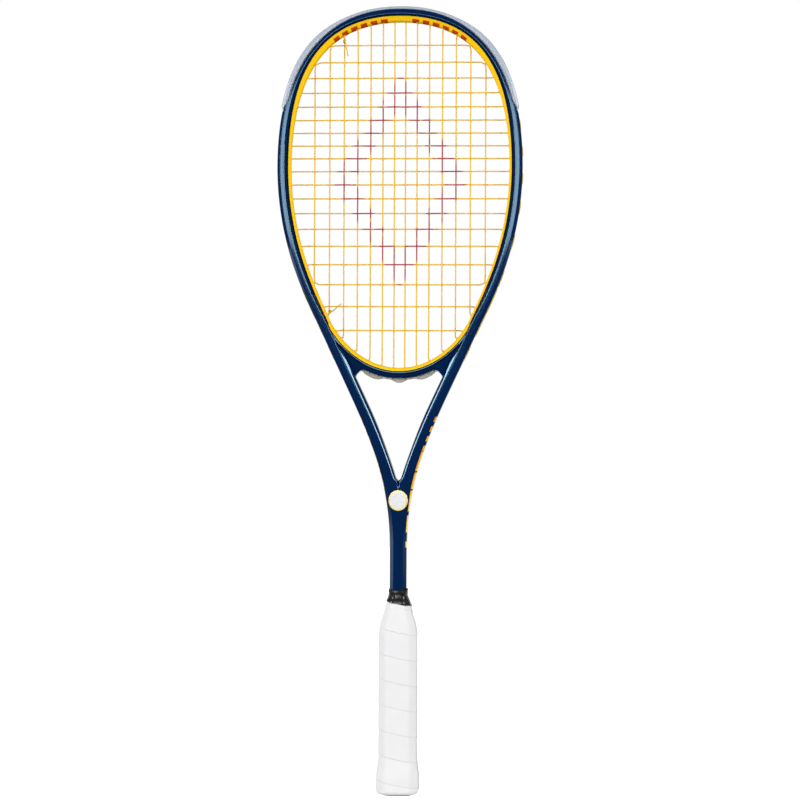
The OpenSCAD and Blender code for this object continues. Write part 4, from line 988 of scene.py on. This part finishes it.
# The grip is a soft white polyurethane tape, wound up the handle from the butt under tension.
# Each turn laps over the edge of the one below, so its lower edge stands a little proud.
GRIP_LOW, GRIP_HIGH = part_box("grip_tape")[0].z / MM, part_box("grip_tape")[1].z / MM
GRIP_T, GRIP_PITCH, GRIP_LAP = 1.8, 22.0, 1.4
GRIP_START, GRIP_FOOT, GRIP_SAG = np.radians(7.0), 1.3, 0.8
GRIP_SQUEEZE, GRIP_BULGE, EXTRA_TURN = 0.55, 0.22, 0.9
GRIP_WHITE, GRIP_GREY, SEAM_SHADE_GREY = (0.8, 0.8, 0.81, 1), (0.74, 0.74, 0.75, 1), (0.42, 0.42, 0.43, 1)


def tucked_flare(z):
    """The cap's flare, less its bevel at the butt, where the tape's first edge is pressed over the rim."""
    return flare(z) + np.interp(z, rim_z, rim_in)


def squeeze(z):
    """How much of its thickness the tape keeps, where the finishing tape pulls it in."""
    return 1 - GRIP_SQUEEZE * ease(GRIP_HIGH - 5, GRIP_HIGH - 1, z)


turns = np.linspace(0.0, (GRIP_HIGH - GRIP_LOW) / GRIP_PITCH + EXTRA_TURN, 1700)
sag = GRIP_SAG * np.maximum(0, -np.sin(GRIP_START - 2 * np.pi * turns)) ** 2
tape_low = np.clip(GRIP_LOW + GRIP_PITCH * (turns - 1) - sag, GRIP_LOW, GRIP_HIGH)
tape_low = np.where(turns < 1, GRIP_FOOT, tape_low)
tape_high = np.clip(GRIP_LOW + GRIP_PITCH * turns + GRIP_LAP - sag, GRIP_LOW + GRIP_LAP, GRIP_HIGH)
f = np.r_[0, 0.006, 0.02, 0.05, np.linspace(0.1, 0.9, 13), 0.95, 0.98, 1.0]
lift = GRIP_T * (0.86 + 0.2 * (1 - f) ** 3) * np.r_[0.72, 0.9, 0.98, 1, np.ones(13), 1, 0.98, 0.9]
lift = lift + GRIP_BULGE * np.sin(np.pi * f)
tape_z = tape_low[:, None] + (tape_high - tape_low)[:, None] * f
tape_angle = GRIP_START - 2 * np.pi * turns[:, None] + 0 * f
under_z = tape_z[:, [-1, 10, 0]]
outside = octagon(tape_angle, tape_z, tucked_flare(tape_z) + BOND + lift * squeeze(tape_z))
under = octagon(tape_angle[:, :3], under_z, tucked_flare(under_z) + BOND)
grip_rings = np.concatenate([outside, under], 1)
tape_share = np.r_[f, 1, 0.5, 0] + 0 * turns[:, None]
grip_uv = np.stack([turns[:, None] + 0 * tape_share, tape_share], -1)
grip = closed_loft("grip_tape_winding", grip_rings, 60.0, grip_uv)
soft_white, tree, shader = new_material("soft_white_tape")
place, _ = object_place(tree)
_, up_tape = surface_place(tree)
# Both edges of each turn are painted grey: painted shade of the small step where one turn laps over the next.
seam_shade = math(tree, "ADD", rise(tree, up_tape, 0.03, 0.0), rise(tree, up_tape, 0.97, 1.0))
mottle = noise(tree, place, 70)
body = blend_colour(tree, mottle, GRIP_WHITE, GRIP_GREY)
shaded = blend_colour(tree, product(tree, seam_shade, 0.5), body, SEAM_SHADE_GREY)
tree.links.new(shaded, shader.inputs["Base Color"])
shader.inputs["Roughness"].default_value = 0.62
shader.inputs["Sheen Weight"].default_value = 0.2
pores = tree.nodes.new("ShaderNodeTexVoronoi")
tree.links.new(place, pores.inputs["Vector"])
pores.inputs["Scale"].default_value = 1500
relief = math(tree, "ADD", pores.outputs["Distance"], product(tree, mottle, 2.0))
bump(tree, shader, relief, 0.12, 0.0002)
finish_piece(grip, soft_white, "grip_pu", "grip_tape")

# The finishing tape is black stretched vinyl, wound round the grip's cut end and the shaft.
# It creases where it narrows, laps itself on a slant, and its free corner sticks up at the right.
FINISH_LOW, FINISH_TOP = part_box("finishing_tape")[0].z / MM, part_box("finishing_tape")[1].z / MM
FINISH_T, FINISH_SLANT, FINISH_LEAST = 0.7, 2.2, 0.25
FLAP_AT, FLAP_UP, FLAP_OUT, LAP_STEP = 5.75, 1.6, 0.9, 0.22
VINYL_BLACK, VINYL_GREY = (0.009, 0.009, 0.009, 1), (0.018, 0.018, 0.018, 1)


def shaft_ring(angle, grow):
    """Radius of the shaft's squared-up oval in a direction, grown evenly."""
    c = np.abs(np.cos(angle)) / (SHAFT_W / 2 + grow)
    s = np.abs(np.sin(angle)) / (SHAFT_D / 2 + grow)
    return (c ** SQUARENESS + s ** SQUARENESS) ** (-1 / SQUARENESS)


wrap_angle = full_turn(240)[None]
wrap_f = np.linspace(0, 1, 60)[:, None]
rim = FINISH_LOW + FINISH_SLANT * (1 - np.cos(wrap_angle)) + 0.25 * np.sin(7 * wrap_angle)
peak = FINISH_TOP - 0.9 + 0.35 * np.sin(5 * wrap_angle + 1)
peak = peak + FLAP_UP * np.exp(-((wrap_angle - FLAP_AT) / 0.16) ** 2)
wrap_z = rim + (peak - rim) * wrap_f
held_z = np.minimum(wrap_z, GRIP_HIGH)
grip_top = octagon(wrap_angle + 0 * wrap_f, held_z, GRIP_T * squeeze(held_z) + 2 * BOND)
wide = np.hypot(grip_top[..., 0], grip_top[..., 1])
close = ease(GRIP_HIGH - 2.0, GRIP_HIGH + 5.0, wrap_z)
crease = 0.16 * np.sin(3 * wrap_angle + 1.1 * wrap_z) * np.sin(2 * wrap_angle - 0.6 * wrap_z + 2)
crease = crease + 0.12 * np.sin(9 * wrap_angle + 0.5 * wrap_z) * ease(GRIP_HIGH - 3, GRIP_HIGH, wrap_z)
lap_z = GRIP_HIGH + 3.5 - 1.2 * np.cos(wrap_angle + 0.7)
lap_step = LAP_STEP * ease(-0.15, 0.15, wrap_z - lap_z)
flap = FLAP_OUT * np.exp(-((wrap_angle - FLAP_AT) / 0.2) ** 2) * ease(0.8, 1.0, wrap_f)
wrap_r = wide * (1 - close) + shaft_ring(wrap_angle, 0.5) * close + FINISH_T + crease - lap_step + flap
wrap_in = np.minimum(wrap_r - FINISH_LEAST, wide * (1 - close) + shaft_ring(wrap_angle, 0.2) * close)
shell_r = np.concatenate([wrap_r, wrap_in[::-1], wrap_r[:1]])
shell_z = np.concatenate([wrap_z, wrap_z[::-1], wrap_z[:1]])
wrap_points = np.stack([shell_r * np.cos(wrap_angle), shell_r * np.sin(wrap_angle), shell_z], -1)
wrap_faces = grid_faces(*wrap_points.shape[:2], True).tolist()
wrap = make_piece("finishing_tape_wrap", wrap_points, wrap_faces, crease=50.0)
vinyl, tree, shader, _, stretch = cloudy_material("black_vinyl", 220, VINYL_BLACK, VINYL_GREY, 0.18, 0.2)
bump(tree, shader, stretch, 0.08, 0.0005)
finish_piece(wrap, vinyl, "tape_vinyl", "finishing_tape")

# The badge is a domed round sticker on the front of the shaft, white with a thin yellow rim.
# It is pressed on over the lacquer and follows the curve of the carbon under it.
BADGE_Z, BADGE_R, BADGE_DOME, BADGE_TALL, BADGE_RIM = 255.8, 8.4, 0.35, 1.06, 7.15
BADGE_WHITE, BADGE_GREY, BADGE_YELLOW = (0.78, 0.79, 0.8, 1), (0.72, 0.73, 0.74, 1), (0.93, 0.72, 0.2, 1)


def front_of_shaft(x, z):
    """Depth of the shaft's front face at x and z, where the two arms have become one."""
    t = np.interp(-z, -spine(FINE_T)[0][:, 1], FINE_T)
    place, outward = spine(t.ravel())
    a, h = half_width(t.ravel()) / outward[:, 0], half_depth(t.ravel())
    past = np.maximum(0, np.abs(x.ravel()) - place[:, 0] - SHOULDER * a) * outward[:, 0]
    return (past / np.tan(SLANT_OUT) - h).reshape(x.shape)


badge_r = np.array([0.01, 1.5, 3, 4.5, 5.5, 6.2, 6.7, 7.2, 7.7, 8.1, 8.3, BADGE_R, BADGE_R])[:, None]
badge_q = full_turn(96)[None]
badge_x, badge_z = badge_r * np.cos(badge_q), BADGE_Z + BADGE_TALL * badge_r * np.sin(badge_q)
dome = BADGE_DOME * np.sqrt(np.maximum(0, 1 - (badge_r / BADGE_R) ** 6)) + 0.05
dome[-1] = -0.3
badge_points = np.stack([badge_x, front_of_shaft(badge_x, badge_z) - dome, badge_z], -1)
badge = closed_loft("shaft_badge", badge_points, 50.0)
domed, tree, shader = new_material("domed_sticker")
place, (px, _, pz) = object_place(tree)
upright = math(tree, "DIVIDE", math(tree, "SUBTRACT", pz, BADGE_Z * MM), BADGE_TALL)
reach = math(tree, "SQRT", math(tree, "ADD", product(tree, px, px), product(tree, upright, upright)))
in_rim = rise(tree, reach, (BADGE_RIM - 0.1) * MM, (BADGE_RIM + 0.1) * MM)
face = blend_colour(tree, noise(tree, place, 300), BADGE_WHITE, BADGE_GREY)
tree.links.new(blend_colour(tree, in_rim, face, BADGE_YELLOW), shader.inputs["Base Color"])
shader.inputs["Roughness"].default_value = 0.25
shader.inputs["Coat Weight"].default_value = 0.6
finish_piece(badge, domed, "frame_lacquer")

# The studio: a pale floor and a backdrop that show white, a wide soft light in front of the head, and a tall
# soft strip high on each side whose reflections draw the pale bands down the hoop.
CAMERA_DISTANCE, CAMERA_YAW, CAMERA_ROLL = 1.8, np.radians(3.0), np.radians(-0.23)
AIM = np.array([0.0008, 0.0, 0.3429])
PICTURE_HEIGHT, SENSOR = 0.6972, 36.0
PAPER_WHITE, PAPER_DARK = (0.85, 0.85, 0.85, 1), (0.03, 0.03, 0.03, 1)
WALL_LEVEL, FILL_LEVEL, LEAST_LEVEL = 0.75, 0.29, 0.04


def stage_plane(name, corners):
    """One flat stage piece from its four corners, in metres."""
    mesh = bpy.data.meshes.new(name)
    mesh.from_pydata(corners, [], [(0, 1, 2, 3)])
    plane = add_object(name, mesh)
    return plane


paper, tree, shader = new_material("white_paper")
shader.inputs["Roughness"].default_value = 0.9
rays = tree.nodes.new("ShaderNodeLightPath")
_, (_, py, _) = object_place(tree)
mirrored = product(tree, rays.outputs["Is Glossy Ray"], rise(tree, py, 0.3, 0.8))
hidden = product(tree, rays.outputs["Is Glossy Ray"], rise(tree, py, 0.8, 0.3))
tree.links.new(blend_colour(tree, hidden, PAPER_WHITE, PAPER_DARK), shader.inputs["Base Color"])
seen = math(tree, "MAXIMUM", rays.outputs["Is Camera Ray"], mirrored)
seen = math(tree, "MAXIMUM", seen, rays.outputs["Is Transmission Ray"])
tree.links.new(seen, shader.inputs["Emission Strength"])
shader.inputs["Emission Color"].default_value = (1, 1, 1, 1)
floor = stage_plane("floor", [(-3, -0.5, 0), (3, -0.5, 0), (3, 3, 0), (-3, 3, 0)])
floor.data.materials.append(paper)

world = bpy.data.worlds.new("studio")
bpy.context.scene.world = world
world.use_nodes = True
tree = world.node_tree
rays = tree.nodes.new("ShaderNodeLightPath")
seen = math(tree, "MAXIMUM", rays.outputs["Is Camera Ray"], rays.outputs["Is Transmission Ray"])
_, way = object_place(tree)
behind = product(tree, rays.outputs["Is Glossy Ray"], rise(tree, way[1], 0.55, 0.95))
level = math(tree, "MAXIMUM", seen, product(tree, behind, WALL_LEVEL))
level = math(tree, "MAXIMUM", level, product(tree, rays.outputs["Is Diffuse Ray"], FILL_LEVEL))
background = tree.nodes["Background"]
background.inputs["Color"].default_value = (1, 1, 1, 1)
tree.links.new(math(tree, "MAXIMUM", level, LEAST_LEVEL), background.inputs["Strength"])


def soft_light(name, place, aim, size, radiance):
    """A soft rectangular lamp of a given brightness, turned to face a point."""
    lamp = bpy.data.lights.new(name, "AREA")
    lamp.shape = "RECTANGLE"
    lamp.size, lamp.size_y = size
    lamp.energy = radiance * np.pi * size[0] * size[1]
    light = add_object(name, lamp)
    light.location = place
    way = Vector(aim) - Vector(place)
    light.rotation_euler = way.to_track_quat("-Z", "Y").to_euler()


soft_light("key", (-0.1, -2.1, 0.79), (0, 0, 0.6), (1.3, 0.42), 9.0)
soft_light("left_strip", (-1.66, -0.77, 1.01), (0, 0, 0.36), (0.4, 0.8), 20.0)
soft_light("right_strip", (1.55, -0.94, 1.06), (0, 0, 0.36), (0.4, 0.8), 20.0)

camera = add_object("camera", bpy.data.cameras.new("camera"))
camera.data.sensor_width = SENSOR
camera.data.lens = SENSOR * CAMERA_DISTANCE / PICTURE_HEIGHT
back = np.array([np.sin(CAMERA_YAW), -np.cos(CAMERA_YAW), 0.0])
camera.location = AIM + CAMERA_DISTANCE * back
camera.rotation_euler = (np.pi / 2, CAMERA_ROLL, CAMERA_YAW)
bpy.context.scene.camera = camera
bpy.context.scene.view_settings.view_transform = "Standard"
